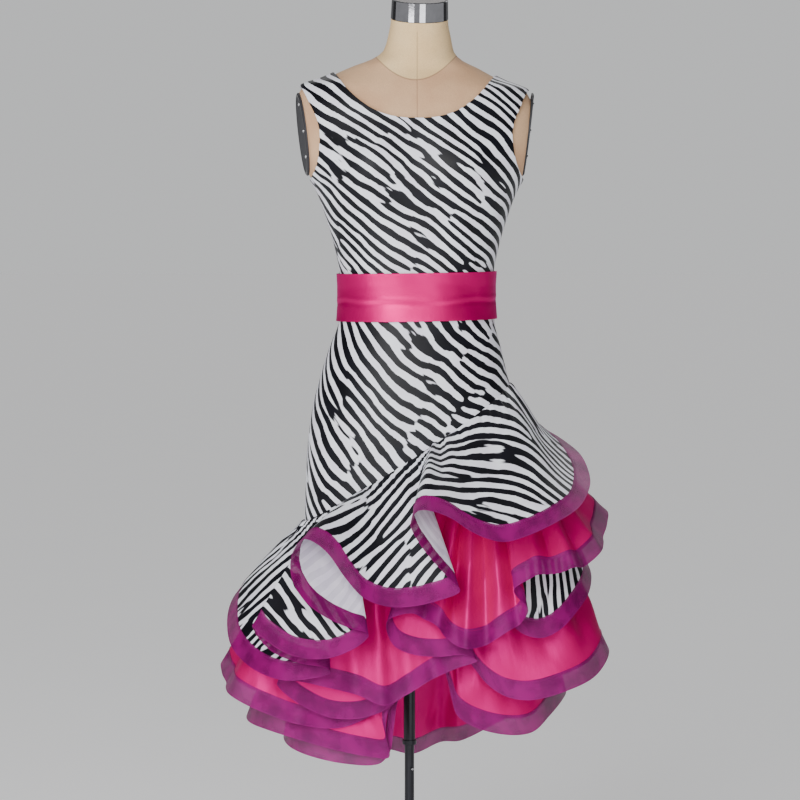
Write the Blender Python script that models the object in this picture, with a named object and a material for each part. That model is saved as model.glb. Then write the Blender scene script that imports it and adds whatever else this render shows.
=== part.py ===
"""Rumba dance dress on a limbless dress form and its telescopic stand.

Every length is in millimetres until a mesh is made, when MM turns it into metres.
The wearer faces -Y, +X is on the viewer's right, and the origin is on the floor
under the pole. Angles go round the figure from the front (0) to +X (90).
"""

import math
from collections import namedtuple

import bmesh
import bpy
from mathutils import Matrix, Vector

MM = 0.001

# ---------------------------------------------------------------- driving sizes
SEAM_GAP = 0.3
CLOTH = 1.2
EASE = 1.3
FORM_UNDER = 1.0
SHOULDER_UNDER = 11.0
CORNER_UNDER = 6.5
STRAP_UNDER = 2.2
SIDE = 90.0

WAIST_SEAM = 1041.0
SASH_TOP = 1078.0
SASH_BOTTOM = 1004.0
SASH_WALL = 1.6
SASH_RISE = 0.9
SASH_EASE = 2.5
SASH_OVERLAP = 14.0

SHOULDER_TIP = 1359.0
NECK_SIDE = 1381.0
FRONT_NECK_DROP = 70.0
BACK_NECK_DROP = 44.0
NECK_HALF_WIDTH = 122.5
NECK_CURVE = 2.6
ARMHOLE_MIDDLE = 1290.0
ARMHOLE_HALF_HEIGHT = 69.0
FRONT_ARMHOLE_DEPTH = 43.0
BACK_ARMHOLE_DEPTH = 40.0

HIP_SEAM_MIDDLE = 799.0
HIP_SEAM_SLOPE = 0.655

BUST_HEIGHT = 1236.0
BUST_APART = 74.0
BUST_SPREAD = 46.0
BUST_RISE = 15.0
SHOULDER_TILT = 0.02

ARM_CUT_TOP = 180.0, 1362.0
ARM_CUT_BOTTOM = 163.5, 1222.0
ARM_ASIDE = 8.5
ARM_TURN_LEFT = 9.0
ARM_TURN_RIGHT = 0.0
ARM_PLATE_WALL = 3.0
CAP_GAP = 0.8

FORM_BASE = 745.0
POLE_RADIUS = 9.0
POLE_BORE = 7.9
POLE_END = 341.0
COLLAR_RADIUS = 11.0
COLLAR_HEIGHT = 7.0
ROD_RADIUS = 7.5
ROD_TOP = 640.0
BUTTON_HEIGHT = 303.0
BUTTON_RADIUS = 2.6
BUTTON_OUT = 2.2
FLANGE_RADIUS = 48.0
FLANGE_WALL = 4.0
BASE_RADIUS = 170.0
BASE_WALL = 7.0

# ---------------------------------------------------------------- the figure
Section = namedtuple("Section", "height aside half_width front back centre lean round_by")

# The form's level sections, from the neck down. aside is how far the section stands
# to the viewer's right of the pole. front and back are measured from its centre, lean
# is how far it tips forwards, in degrees, and round_by is the power of the
# superellipse: 2 is an ellipse and more is squarer.
FORM_SECTIONS = (
    Section(1464, 15, 44.0, 43, 43, -30, 13, 2.0),
    Section(1438, 15, 48.5, 47, 48, -23, 10, 2.0),
    Section(1416, 14, 55.0, 53, 56, -14, 5, 2.0),
    Section(1404, 12, 70.0, 58, 62, -8, 2, 2.0),
    Section(1394, 10, 95.0, 62, 66, -3, 0, 2.0),
    Section(1384, 8, 117.0, 66, 71, 0, 0, 2.1),
    Section(1372, 7.5, 143.0, 72, 76, 0, 0, 2.2),
    Section(1359, 7, 175.0, 78, 81, 0, 0, 2.3),
    Section(1325, 8.5, 188.0, 90, 92, 0, 0, 2.5),
    Section(1275, 10, 184.0, 102, 98, 0, 0, 2.5),
    Section(1236, 11, 170.5, 106, 97, 0, 0, 2.4),
    Section(1200, 11, 151.0, 103, 92, 0, 0, 2.3),
    Section(1160, 11, 136.5, 96, 86, 0, 0, 2.2),
    Section(1118, 11, 124.5, 89, 80, 0, 0, 2.2),
    Section(1075, 11, 116.5, 84, 76, 0, 0, 2.2),
    Section(1041, 11, 115.5, 83, 76, 0, 0, 2.2),
    Section(1004, 11, 117.5, 85, 81, 0, 0, 2.2),
    Section(960, 8.5, 130.5, 92, 94, 0, 0, 2.2),
    Section(915, 7, 143.0, 98, 106, 0, 0, 2.2),
    Section(870, 7, 154.5, 102, 113, 0, 0, 2.2),
    Section(820, 7, 161.5, 103, 116, 0, 0, 2.2),
    Section(785, 7, 163.0, 102, 114, 0, 0, 2.2),
    Section(760, 7, 160.0, 98, 108, 0, 0, 2.2),
    Section(745, 7, 150.0, 88, 98, 0, 0, 2.2),
)

# Below the hips the skirt hangs from the form without touching it.
HANG_SECTIONS = (
    Section(785, 7, 164.0, 101, 116, 0, 0, 2.2),
    Section(700, 7, 167.0, 99, 118, 0, 0, 2.2),
    Section(560, 7, 168.0, 96, 119, 0, 0, 2.1),
    Section(400, 7, 168.0, 94, 120, 0, 0, 2.0),
)
SKIRT_SECTIONS = FORM_SECTIONS[:21] + HANG_SECTIONS


def between(rows, height):
    """The table's row for one height, on a smooth curve that never overshoots its rows."""
    keys = [row[0] for row in rows]
    height = max(min(height, keys[0]), keys[-1])
    i = next(k for k in range(len(rows) - 1) if height >= keys[k + 1])
    span = keys[i + 1] - keys[i]
    t = (height - keys[i]) / span

    def slope(column, k):
        if k == 0 or k == len(rows) - 1:
            return 0.0
        before = (rows[k][column] - rows[k - 1][column]) / (keys[k] - keys[k - 1])
        after = (rows[k + 1][column] - rows[k][column]) / (keys[k + 1] - keys[k])
        return 0.0 if before * after <= 0 else 2 * before * after / (before + after)

    def value(column):
        a, b = rows[i][column], rows[i + 1][column]
        ma, mb = slope(column, i) * span, slope(column, i + 1) * span
        return (
            a * (1 + 2 * t) * (1 - t) ** 2
            + ma * t * (1 - t) ** 2
            + b * t * t * (3 - 2 * t)
            + mb * t * t * (t - 1)
        )

    return Section(height, *(value(column) for column in range(1, len(rows[0]))))


def signed_power(value, power):
    return math.copysign(abs(value) ** power, value)


def figure_point(rows, angle, height):
    """The point of the figure at an angle and a height."""
    row = between(rows, height)
    turn = math.radians(angle)
    power = 2 / row.round_by
    x = row.half_width * signed_power(math.sin(turn), power)
    ahead = signed_power(math.cos(turn), power)
    y = -ahead * (row.front if ahead > 0 else row.back)
    if ahead > 0:
        off_bust = (abs(x) - BUST_APART) / BUST_SPREAD, (height - BUST_HEIGHT) / BUST_SPREAD
        y -= BUST_RISE * ahead * math.exp(-off_bust[0] ** 2 - off_bust[1] ** 2)
    z = height + y * math.tan(math.radians(row.lean))
    z -= SHOULDER_TILT * x * min(max((height - 1250) / 100, 0.0), 1.0)
    return Vector((x + row.aside, y + row.centre, z))


def off_figure(rows, angle, height, out):
    """The figure's point moved straight out of its surface."""
    step = 1.0
    low, high = max(height - step, rows[-1][0]), min(height + step, rows[0][0])
    across = figure_point(rows, angle + step, height) - figure_point(rows, angle - step, height)
    up = figure_point(rows, angle, high) - figure_point(rows, angle, low)
    return figure_point(rows, angle, height) + across.cross(up).normalized() * out


def angle_of(rows, x, height):
    """The angle in front at which the figure's section reaches x from its middle."""
    row = between(rows, height)
    share = min(abs(x) / row.half_width, 1.0) ** (row.round_by / 2)
    return math.copysign(math.degrees(math.asin(share)), x)


# ---------------------------------------------------------------- making objects
MATERIALS = {
    "zebra_jersey": ((0.86, 0.86, 0.88), 0.6, 0.0),
    "pink_satin": ((0.85, 0.04, 0.30), 0.3, 0.0),
    "crinoline_braid": ((0.45, 0.05, 0.35), 0.35, 0.0),
    "form_linen": ((0.66, 0.50, 0.36), 0.85, 0.0),
    "chrome": ((0.80, 0.80, 0.82), 0.1, 1.0),
    "black_metal": ((0.03, 0.03, 0.035), 0.3, 0.8),
}


def clear_scene():
    for obj in list(bpy.data.objects):
        bpy.data.objects.remove(obj, do_unlink=True)


def material(name):
    made = bpy.data.materials.get(name)
    if made:
        return made
    colour, roughness, metallic = MATERIALS[name]
    made = bpy.data.materials.new(name)
    made.use_nodes = True
    shader = made.node_tree.nodes["Principled BSDF"]
    shader.inputs["Base Color"].default_value = (*colour, 1.0)
    shader.inputs["Roughness"].default_value = roughness
    shader.inputs["Metallic"].default_value = metallic
    return made


def add_object(name, mesh_builder, finish, smooth=True):
    """A named object from a bmesh in millimetres."""
    mesh = bpy.data.meshes.new(name)
    bmesh.ops.scale(mesh_builder, vec=(MM, MM, MM), verts=mesh_builder.verts)
    mesh_builder.to_mesh(mesh)
    mesh_builder.free()
    obj = bpy.data.objects.new(name, mesh)
    bpy.context.scene.collection.objects.link(obj)
    mesh.materials.append(material(finish))
    if smooth:
        mesh.shade_smooth()
        mesh.set_sharp_from_angle(angle=math.radians(50))
    return obj


def sheet(points, closed=False):
    """A bmesh grid from rows of points. Row by row it runs to the viewer's right and up."""
    grid = bmesh.new()
    verts = [[grid.verts.new(point) for point in row] for row in points]
    columns = len(points[0])
    for low, high in zip(verts, verts[1:]):
        for i in range(columns if closed else columns - 1):
            j = (i + 1) % columns
            grid.faces.new((low[i], low[j], high[j], high[i]))
    return grid


def spread(low, high, steps):
    return [low + (high - low) * i / steps for i in range(steps + 1)]


# ---------------------------------------------------------------- bodice
def neckline(x, drop):
    return NECK_SIDE - drop * (1 - min(abs(x) / NECK_HALF_WIDTH, 1.0) ** NECK_CURVE)


def armhole(share, depth):
    """Angle and height on the armhole's edge, from the underarm (0) to the shoulder tip (1)."""
    turn = math.pi * (share - 0.5)
    low, high = ARMHOLE_MIDDLE - ARMHOLE_HALF_HEIGHT, SHOULDER_TIP
    middle, half = (low + high) / 2, (high - low) / 2
    return SIDE - depth * max(math.cos(turn), 0.0) ** 0.85, middle + half * math.sin(turn)


def reach(angle, height):
    """How far to the side of its middle the figure stands at an angle and a height."""
    row = between(FORM_SECTIONS, height)
    return row.half_width * signed_power(math.sin(math.radians(angle)), 2 / row.round_by)


def bodice_grid(neck_drop, arm_depth, columns=20, lower_rows=5, upper_rows=9):
    """Angles and heights over a bodice panel: level rows to the underarm, then up to the straps."""
    strap = 0.15
    side_edge = SIDE - 0.15
    underarm = ARMHOLE_MIDDLE - ARMHOLE_HALF_HEIGHT
    across = spread(-1, 1, columns)

    def top(share):
        inner = 1 - 2 * strap
        if abs(share) < inner:
            x = NECK_HALF_WIDTH * share / inner
            return x, neckline(x, neck_drop)
        height = NECK_SIDE + (SHOULDER_TIP - NECK_SIDE) * (abs(share) - inner) / (1 - inner)
        return math.copysign(reach(side_edge, height), share), height

    grid = [
        [(side_edge * share, height) for share in across]
        for height in spread(WAIST_SEAM + SEAM_GAP / 2, underarm, lower_rows)
    ]
    low, high = reach(side_edge, underarm), reach(side_edge, SHOULDER_TIP)
    for t in spread(0, 1, upper_rows)[1:]:
        angle, height = armhole(t, arm_depth)
        off_x = reach(min(angle, side_edge), height) - low - (high - low) * t
        off_height = height - underarm - (SHOULDER_TIP - underarm) * t
        line = []
        for share in across:
            x, height = top(share)
            x = reach(side_edge * share, underarm) * (1 - t) + x * t + off_x * share
            height = underarm + (height - underarm) * t + off_height * abs(share) ** 1.5
            angle = angle_of(FORM_SECTIONS, x, height)
            line.append((max(min(angle, side_edge), -side_edge), height))
        grid.append(line)
    return grid


def bodice_panel(name, front):
    drop, depth = (
        (FRONT_NECK_DROP, FRONT_ARMHOLE_DEPTH) if front else (BACK_NECK_DROP, BACK_ARMHOLE_DEPTH)
    )
    centre = 0 if front else 180
    grid = bodice_grid(drop, depth)
    inner, outer = (
        [[off_figure(FORM_SECTIONS, centre + angle, height, out) for angle, height in line] for line in grid]
        for out in (EASE, EASE + CLOTH)
    )
    return layered(name, inner, outer, "zebra_jersey")


# ---------------------------------------------------------------- skirt
def hip_seam(angle):
    """Height of the slanting seam that carries the zebra flounce."""
    return seam_height(angle, HIP_SEAM_MIDDLE, HIP_SEAM_SLOPE)


def skirt_panel(name, centre, columns=14, rows=7):
    edge = SIDE - 0.1
    inner, outer = [], []
    for t in spread(0, 1, rows):
        low_line, high_line = [], []
        for angle in spread(centre - edge, centre + edge, columns):
            low = hip_seam(angle)
            high = WAIST_SEAM - SEAM_GAP / 2
            height = low + (high - low) * t
            low_line.append(off_figure(SKIRT_SECTIONS, angle, height, EASE))
            high_line.append(off_figure(SKIRT_SECTIONS, angle, height, EASE + CLOTH))
        inner.append(low_line)
        outer.append(high_line)
    return layered(name, inner, outer, "zebra_jersey")


def sash():
    """A satin band round the waist. Its outer end laps over the inner one at the back."""
    steps, rows = 36, 2
    start, end = 180 - SASH_OVERLAP / 2, 540 + SASH_OVERLAP / 2
    sides = []
    for out in (0.0, SASH_WALL):
        grid = []
        for t in spread(0, 1, rows):
            line = []
            for share in spread(0, 1, steps):
                angle = start + (end - start) * share
                lap = max(0.0, (share - 0.9) / 0.1) * (SASH_WALL + SEAM_GAP + 0.4)
                height = SASH_BOTTOM + (SASH_TOP - SASH_BOTTOM) * t
                ease = EASE + CLOTH + SASH_EASE
                point = off_figure(SKIRT_SECTIONS, angle, height, ease + lap + out)
                point.z += point.x * math.tan(math.radians(SASH_RISE))
                line.append(point)
            grid.append(line)
        sides.append(grid)
    return layered("sash", *sides, "pink_satin")


# ---------------------------------------------------------------- flounces
Fold = namedtuple("Fold", "seam_angle across toward up")

# Where each flounce's hem goes over the front, from the wearer's right to left. A row
# is a crest, a hollow or the side of one: the angle at which that line of cloth leaves
# its seam, then its end at the hem. across is X, toward is Y and up is the height.

ZEBRA_FRONT = (
    Fold(-100, -227, 75, 595),
    Fold(-93, -259, 48, 585),
    Fold(-86, -277, 15, 566),
    Fold(-80, -282, -30, 538),
    Fold(-74, -271, -85, 506),
    Fold(-69, -238, -134, 483),
    Fold(-64, -190, -170, 471),
    Fold(-60, -140, -178, 476),
    Fold(-57.5, -118, -178, 483),
    Fold(-55.5, -125, -179, 491),
    Fold(-53, -164, -178, 498),
    Fold(-51, -204, -180, 515),
    Fold(-49.5, -227, -187, 540),
    Fold(-48.3, -234, -196, 557),
    Fold(-47, -222, -205, 543),
    Fold(-45, -177, -212, 516),
    Fold(-42, -126, -212, 510),
    Fold(-39.5, -81, -211, 526),
    Fold(-37, -61, -211, 546),
    Fold(-35, -89, -212, 556),
    Fold(-33, -125, -214, 573),
    Fold(-31, -156, -215, 598),
    Fold(-29, -174, -217, 631),
    Fold(-27, -174, -216, 665),
    Fold(-25, -156, -218, 689),
    Fold(-22.5, -125, -219, 672),
    Fold(-19.5, -94, -220, 630),
    Fold(-16, -68, -220, 602),
    Fold(-12, -32, -221, 589),
    Fold(-8, 6, -222, 590),
    Fold(-4, 44, -223, 599),
    Fold(-1, 74, -225, 613),
    Fold(1, 56, -229, 634),
    Fold(3, 32, -232, 661),
    Fold(5, 12, -235, 688),
    Fold(7, 1, -238, 714),
    Fold(9, 12, -240, 733),
    Fold(11, 35, -242, 732),
    Fold(14, 61, -244, 722),
    Fold(18, 85, -245, 706),
    Fold(23, 110, -246, 694),
    Fold(30, 139, -245, 688),
    Fold(38, 176, -240, 698),
    Fold(47, 216, -224, 715),
    Fold(57, 249, -192, 732),
    Fold(66, 267, -150, 752),
    Fold(75, 273, -100, 770),
    Fold(84, 265, -45, 795),
    Fold(92, 247, 10, 811),
    Fold(100, 218, 60, 826),
)

SATIN_1_FRONT = (
    Fold(-100, -269, 85, 476),
    Fold(-93, -286, 48, 466),
    Fold(-86, -293, 8, 453),
    Fold(-79, -285, -38, 439),
    Fold(-72, -263, -80, 425),
    Fold(-65, -225, -104, 411),
    Fold(-57, -170, -115, 394),
    Fold(-48, -106, -119, 389),
    Fold(-42, -51, -125, 412),
    Fold(-39, -24, -126, 427),
    Fold(-37.5, -45, -128, 414),
    Fold(-36.2, -81, -130, 405),
    Fold(-35, -124, -132, 408),
    Fold(-33.8, -163, -134, 426),
    Fold(-32.6, -191, -136, 447),
    Fold(-31.4, -200, -138, 461),
    Fold(-29, -174, -142, 465),
    Fold(-24.5, -128, -149, 457),
    Fold(-19.5, -79, -155, 446),
    Fold(-15.5, -37, -157, 430),
    Fold(-12, -3, -159, 448),
    Fold(-8, 33, -162, 470),
    Fold(-4.5, 68, -165, 487),
    Fold(-1.5, 101, -168, 500),
    Fold(1, 78, -171, 509),
    Fold(3.5, 45, -174, 507),
    Fold(6, 8, -176, 510),
    Fold(8, -21, -178, 522),
    Fold(10, -33, -180, 542),
    Fold(12, -34, -184, 561),
    Fold(14.5, -21, -187, 570),
    Fold(18, 5, -189, 574),
    Fold(22, 30, -191, 562),
    Fold(26, 54, -193, 538),
    Fold(30, 83, -195, 521),
    Fold(34, 116, -196, 531),
    Fold(38, 146, -197, 549),
    Fold(42, 172, -198, 571),
    Fold(44, 175, -200, 584),
    Fold(46, 160, -203, 600),
    Fold(48, 154, -206, 612),
    Fold(50.5, 167, -208, 623),
    Fold(54, 192, -208, 633),
    Fold(58, 222, -204, 637),
    Fold(63, 252, -192, 643),
    Fold(69, 279, -158, 655),
    Fold(75, 295, -112, 674),
    Fold(82, 302, -62, 692),
    Fold(89, 298, -12, 712),
    Fold(97, 281, 45, 729),
)

ZEBRA_TAIL = (
    Fold(28, 136, -128, 578),
    Fold(33, 145, -142, 564),
    Fold(38, 156, -152, 549),
    Fold(44, 174, -158, 537),
    Fold(51, 200, -158, 533),
    Fold(58, 227, -150, 545),
    Fold(66, 252, -128, 568),
    Fold(75, 272, -90, 590),
    Fold(85, 280, -40, 612),
    Fold(96, 276, 20, 628),
)

SATIN_2_FRONT = (
    Fold(-100, -212, 75, 397),
    Fold(-92, -238, 35, 396),
    Fold(-84, -253, -5, 389),
    Fold(-77, -247, -45, 384),
    Fold(-70, -217, -82, 379),
    Fold(-62, -167, -106, 368),
    Fold(-54, -112, -114, 354),
    Fold(-46, -57, -117, 344),
    Fold(-40, -31, -118, 344),
    Fold(-33, -36, -118, 378),
    Fold(-26, -33, -118, 413),
    Fold(-18, -12, -119, 444),
    Fold(-9, 22, -120, 472),
    Fold(0, 58, -123, 494),
    Fold(8, 82, -126, 500),
    Fold(16, 97, -131, 483),
    Fold(24, 118, -136, 458),
    Fold(32, 148, -140, 440),
    Fold(41, 186, -142, 436),
    Fold(50, 234, -138, 448),
    Fold(60, 276, -118, 464),
    Fold(70, 300, -82, 484),
    Fold(80, 307, -40, 499),
    Fold(90, 289, 20, 502),
    Fold(98, 258, 72, 514),
)

SATIN_3_FRONT = (
    Fold(-100, -174, 70, 363),
    Fold(-90, -191, 20, 359),
    Fold(-80, -195, -30, 356),
    Fold(-70, -181, -72, 349),
    Fold(-60, -149, -94, 340),
    Fold(-50, -99, -103, 331),
    Fold(-41, -48, -107, 331),
    Fold(-34, -30, -108, 350),
    Fold(-28, -24, -108, 387),
    Fold(-20, -16, -108, 433),
    Fold(-10, 13, -108, 473),
    Fold(0, 43, -109, 491),
    Fold(10, 55, -110, 469),
    Fold(18, 64, -112, 431),
    Fold(26, 73, -113, 406),
    Fold(35, 102, -114, 388),
    Fold(45, 149, -112, 377),
    Fold(56, 187, -100, 379),
    Fold(68, 214, -70, 398),
    Fold(80, 237, -20, 414),
    Fold(92, 247, 40, 419),
    Fold(100, 240, 80, 422),
)

Tier = namedtuple("Tier", "name seam_height seam_slope back_radius back_up waves wave_depth cloth")

# Each flounce's seam is a slanting line round the skirt: its height over the pole, and
# how much it rises for each millimetre to the viewer's right. back_radius and back_up
# are the middle of its back hem, which has that many even waves.
TIERS = (
    Tier("zebra_flounce", 799, 0.655, 232, 668, 7, 17, "zebra_jersey"),
    Tier("satin_flounce_1", 760, 0.67, 254, 545, 7, 17, "pink_satin"),
    Tier("satin_flounce_2", 690, 0.450, 240, 425, 6, 16, "pink_satin"),
    Tier("satin_flounce_3", 590, 0.300, 205, 290, 6, 14, "pink_satin"),
)
TAIL_SEAM_HEIGHT = 738
TAIL_SEAM_SLOPE = 0.560
FLOUNCE_RISE = 7.0
BRAID_WIDTH = 25.0
BRAID = 1.0
BRAID_GAP = 0.7
COLUMN_STEP = 24.0
UNDERSKIRT_HEM = 572
UNDERSKIRT_SLOPE = 0.300


def seam_height(angle, height, slope):
    aside = between(SKIRT_SECTIONS, height).aside
    x = figure_point(SKIRT_SECTIONS, angle, height).x - aside
    return height + slope * x


def back_rows(front, tier):
    """The back of a hem, in even waves between the two ends of the front."""
    first, last = front[0], front[-1]
    turn = [math.degrees(math.atan2(row.across, -row.toward)) % 360 for row in (last, first)]
    reach = [math.hypot(row.across, row.toward) for row in (last, first)]
    rows = []
    steps = 2 * tier.waves
    for k in range(1, steps):
        share = k / steps
        middle = math.sin(math.pi * share)
        sway = tier.wave_depth * (1 if k % 2 else -1)
        angle = last.seam_angle + (first.seam_angle + 360 - last.seam_angle) * share
        way = math.radians(turn[0] + (turn[1] - turn[0]) * share)
        out = reach[0] + (reach[1] - reach[0]) * share
        out += (tier.back_radius - (reach[0] + reach[1]) / 2) * middle + sway
        up = last.up + (first.up - last.up) * share
        up += (tier.back_up - (last.up + first.up) / 2) * middle + 0.2 * sway
        rows.append(Fold(angle, out * math.sin(way), -out * math.cos(way), up))
    return rows


class Flounce:
    """A gathered strip from a seam on the skirt to a hem that follows its fold rows."""

    def __init__(self, rows, height, slope, closed):
        self.rows = list(rows)
        self.closed = closed
        if closed:
            self.rows.append(rows[0]._replace(seam_angle=rows[0].seam_angle + 360))
        self.height, self.slope = height, slope
        self.at = [0.0]
        for a, b in zip(self.rows, self.rows[1:]):
            self.at.append(self.at[-1] + math.dist(a[1:], b[1:]))

    def tangent(self, k):
        last = len(self.rows) - 1
        if self.closed and k in (0, last):
            a, b = self.rows[last - 1], self.rows[1]
            span = self.at[last] - self.at[last - 1] + self.at[1]
        else:
            low, high = max(k - 1, 0), min(k + 1, last)
            a, b = self.rows[low], self.rows[high]
            span = self.at[high] - self.at[low]
        return [(q - p) / span for p, q in zip(a[1:], b[1:])]

    def hem(self, s):
        """(seam angle, hem point) at a length along the hem."""
        last = len(self.rows) - 1
        total = self.at[-1]
        turns = 0
        if self.closed:
            turns, s = divmod(s, total)
        s = max(min(s, total), 0.0)
        k = next(i for i in range(last) if s <= self.at[i + 1])
        span = self.at[k + 1] - self.at[k]
        t = (s - self.at[k]) / span
        a, b = self.rows[k], self.rows[k + 1]
        ma, mb = self.tangent(k), self.tangent(k + 1)
        point = [
            p * (1 + 2 * t) * (1 - t) ** 2
            + m * span * t * (1 - t) ** 2
            + q * t * t * (3 - 2 * t)
            + n * span * t * t * (t - 1)
            for p, q, m, n in zip(a[1:], b[1:], ma, mb)
        ]
        angle = a.seam_angle + (b.seam_angle - a.seam_angle) * t + 360 * turns
        return angle, Vector(point)

    def point(self, s, v):
        """A point of the cloth, from the seam (v = 0) to the hem (v = 1)."""
        angle, hem = self.hem(s)
        level = seam_height(angle, self.height, self.slope)
        seam = off_figure(SKIRT_SECTIONS, angle, level, EASE + CLOTH + SEAM_GAP)
        point = seam.lerp(hem, v)
        point.z += FLOUNCE_RISE * math.sin(math.pi * v)
        return point

    def outward(self, s, v):
        step = 0.5
        across = self.point(s + step, v) - self.point(s - step, v)
        low, high = max(v - 0.01, 0), min(v + 0.01, 1)
        down = self.point(s, high) - self.point(s, low)
        return down.cross(across).normalized()

    def columns(self, start, end):
        """Lengths along the hem between two rows, with each row and even steps between."""
        found = []
        for k in range(start, end):
            span = self.at[k + 1] - self.at[k]
            steps = max(1, round(span / COLUMN_STEP))
            found += [self.at[k] + span * i / steps for i in range(steps)]
        found.append(self.at[end])
        found[0] += SEAM_GAP / 2
        found[-1] -= SEAM_GAP / 2
        return found

    def edge(self, s):
        """How far down the strip the braid begins."""
        return 1 - BRAID_WIDTH / (self.point(s, 1) - self.point(s, 0)).length


def layered(name, inner, outer, finish, closed=False):
    """A closed wall between two grids, which run to the viewer's right and up."""
    wall = bmesh.new()
    sides = [[[wall.verts.new(p) for p in row] for row in grid] for grid in (inner, outer)]
    back, face = sides
    rows, columns = len(inner), len(inner[0])
    if not closed:
        for r in range(rows - 1):
            wall.faces.new((face[r][0], face[r + 1][0], back[r + 1][0], back[r][0]))
            wall.faces.new((back[r][-1], back[r + 1][-1], face[r + 1][-1], face[r][-1]))
    for i in range(columns if closed else columns - 1):
        j = (i + 1) % columns
        wall.faces.new((back[0][i], back[0][j], face[0][j], face[0][i]))
        wall.faces.new((face[-1][i], face[-1][j], back[-1][j], back[-1][i]))
    for r in range(rows - 1):
        for i in range(columns if closed else columns - 1):
            j = (i + 1) % columns
            wall.faces.new((face[r][i], face[r][j], face[r + 1][j], face[r + 1][i]))
            wall.faces.new((back[r][i], back[r + 1][i], back[r + 1][j], back[r][j]))
    return add_object(name, wall, finish)


def strip(name, flounce, lengths, levels, wall, finish):
    """Part of a flounce between two levels, as one wall."""
    inner, outer = [], []
    for level in levels:
        low, high = [], []
        for s in lengths:
            v = level(flounce.edge(s), flounce.point(s, 1) - flounce.point(s, 0))
            point = flounce.point(s, v)
            low.append(point)
            high.append(point + flounce.outward(s, v) * wall)
        inner.append(low)
        outer.append(high)
    return layered(name, inner, outer, finish)


def flounce_pieces(name, flounce, spans, finish):
    """The cloth and the hem braid of a flounce, for each named span of its rows."""
    cloth_levels = [lambda edge, way, t=t: edge * t for t in (1.0, 0.68, 0.34, 0.0)]
    braid_levels = [
        lambda edge, way: 1.0,
        lambda edge, way: edge + BRAID_GAP / way.length,
    ]
    for side, start, end in spans:
        lengths = flounce.columns(start, end)
        strip(f"{name}{side}", flounce, lengths, cloth_levels, CLOTH, finish)
        strip(f"{name}_braid{side}", flounce, lengths, braid_levels, BRAID, "crinoline_braid")


def ring_flounce(tier, front):
    rows = list(front) + back_rows(front, tier)
    flounce = Flounce(rows, tier.seam_height, tier.seam_slope, closed=True)
    middle = len(front) - 1
    spans = (("_front", 0, middle), ("_back", middle, len(rows)))
    flounce_pieces(tier.name, flounce, spans, tier.cloth)


def underskirt():
    """The tube inside the flounces, which their upper edges are sewn to."""
    for name, centre in (("underskirt_front", 0), ("underskirt_back", 180)):
        edge = SIDE - 0.1
        inner, outer = [], []
        for t in spread(0, 1, 5):
            low_line, high_line = [], []
            for angle in spread(centre - edge, centre + edge, 14):
                low = seam_height(angle, UNDERSKIRT_HEM, UNDERSKIRT_SLOPE)
                high = hip_seam(angle) - SEAM_GAP
                height = low + (high - low) * t
                low_line.append(off_figure(SKIRT_SECTIONS, angle, height, EASE))
                high_line.append(off_figure(SKIRT_SECTIONS, angle, height, EASE + CLOTH))
            inner.append(low_line)
            outer.append(high_line)
        layered(name, inner, outer, "pink_satin")


# ---------------------------------------------------------------- form and stand
def arm_cut(side):
    """The flat where an arm would begin: its lower and upper ends and its outward way."""
    low, high = (Vector((ARM_ASIDE + side * x, 0, z)) for x, z in (ARM_CUT_BOTTOM, ARM_CUT_TOP))
    up = (high - low).normalized()
    out = Vector((side, 0, 0))
    out = (out - up * out.dot(up)).normalized()
    turn = ARM_TURN_RIGHT if side > 0 else -ARM_TURN_LEFT
    return low, high, Matrix.Rotation(math.radians(-turn), 3, up) @ out


def form_torso(around=32):
    heights = [row.height for row in FORM_SECTIONS]
    extra = [1450, 1427, 1399, 1345, 1300, 1255, 1218, 1180]
    levels = sorted(heights + extra)

    def skin(angle, height):
        under = SHOULDER_UNDER * math.exp(-(((height - 1335) / 50) ** 2))
        under *= math.sin(math.radians(angle)) ** 2
        corner = CORNER_UNDER * math.exp(-(((height - 1290) / 90) ** 2))
        under += corner * math.sin(math.radians(2 * angle)) ** 2
        under += STRAP_UNDER * math.exp(-(((height - 1374) / 16) ** 2))
        return off_figure(FORM_SECTIONS, angle, height, -FORM_UNDER - under)

    body = sheet(
        [
            [skin(360 * i / around, height) for i in range(around)]
            for height in levels
        ],
        closed=True,
    )
    rims = [edge for edge in body.edges if edge.is_boundary]
    bmesh.ops.holes_fill(body, edges=rims)
    for side in (1, -1):
        low, high, out = arm_cut(side)
        cut = bmesh.ops.bisect_plane(
            body,
            geom=body.verts[:] + body.edges[:] + body.faces[:],
            plane_co=low,
            plane_no=out,
            clear_outer=True,
        )
        rim = [item for item in cut["geom_cut"] if isinstance(item, bmesh.types.BMEdge)]
        bmesh.ops.holes_fill(body, edges=rim)
    bmesh.ops.recalc_face_normals(body, faces=body.faces)
    return add_object("form_torso", body, "form_linen")


def turned(name, profile, finish, steps=32, place=Matrix.Identity(4)):
    """A turned piece from (radius, height) pairs, from the bottom of its outside to the top."""
    grid = bmesh.new()
    rings = []
    for radius, height in profile:
        if radius == 0:
            rings.append([grid.verts.new(place @ Vector((0, 0, height)))])
            continue
        rings.append(
            [
                grid.verts.new(
                    place
                    @ Vector(
                        (
                            radius * math.cos(2 * math.pi * i / steps),
                            radius * math.sin(2 * math.pi * i / steps),
                            height,
                        )
                    )
                )
                for i in range(steps)
            ]
        )
    if profile[0] == profile[-1]:
        rings[-1] = rings[0]
    for low, high in zip(rings, rings[1:]):
        for i in range(steps):
            j = (i + 1) % steps
            corners = [low[i % len(low)], low[j % len(low)], high[j % len(high)], high[i % len(high)]]
            unique = list(dict.fromkeys(corners))
            grid.faces.new(unique)
    bmesh.ops.recalc_face_normals(grid, faces=grid.faces)
    return add_object(name, grid, finish)


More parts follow.
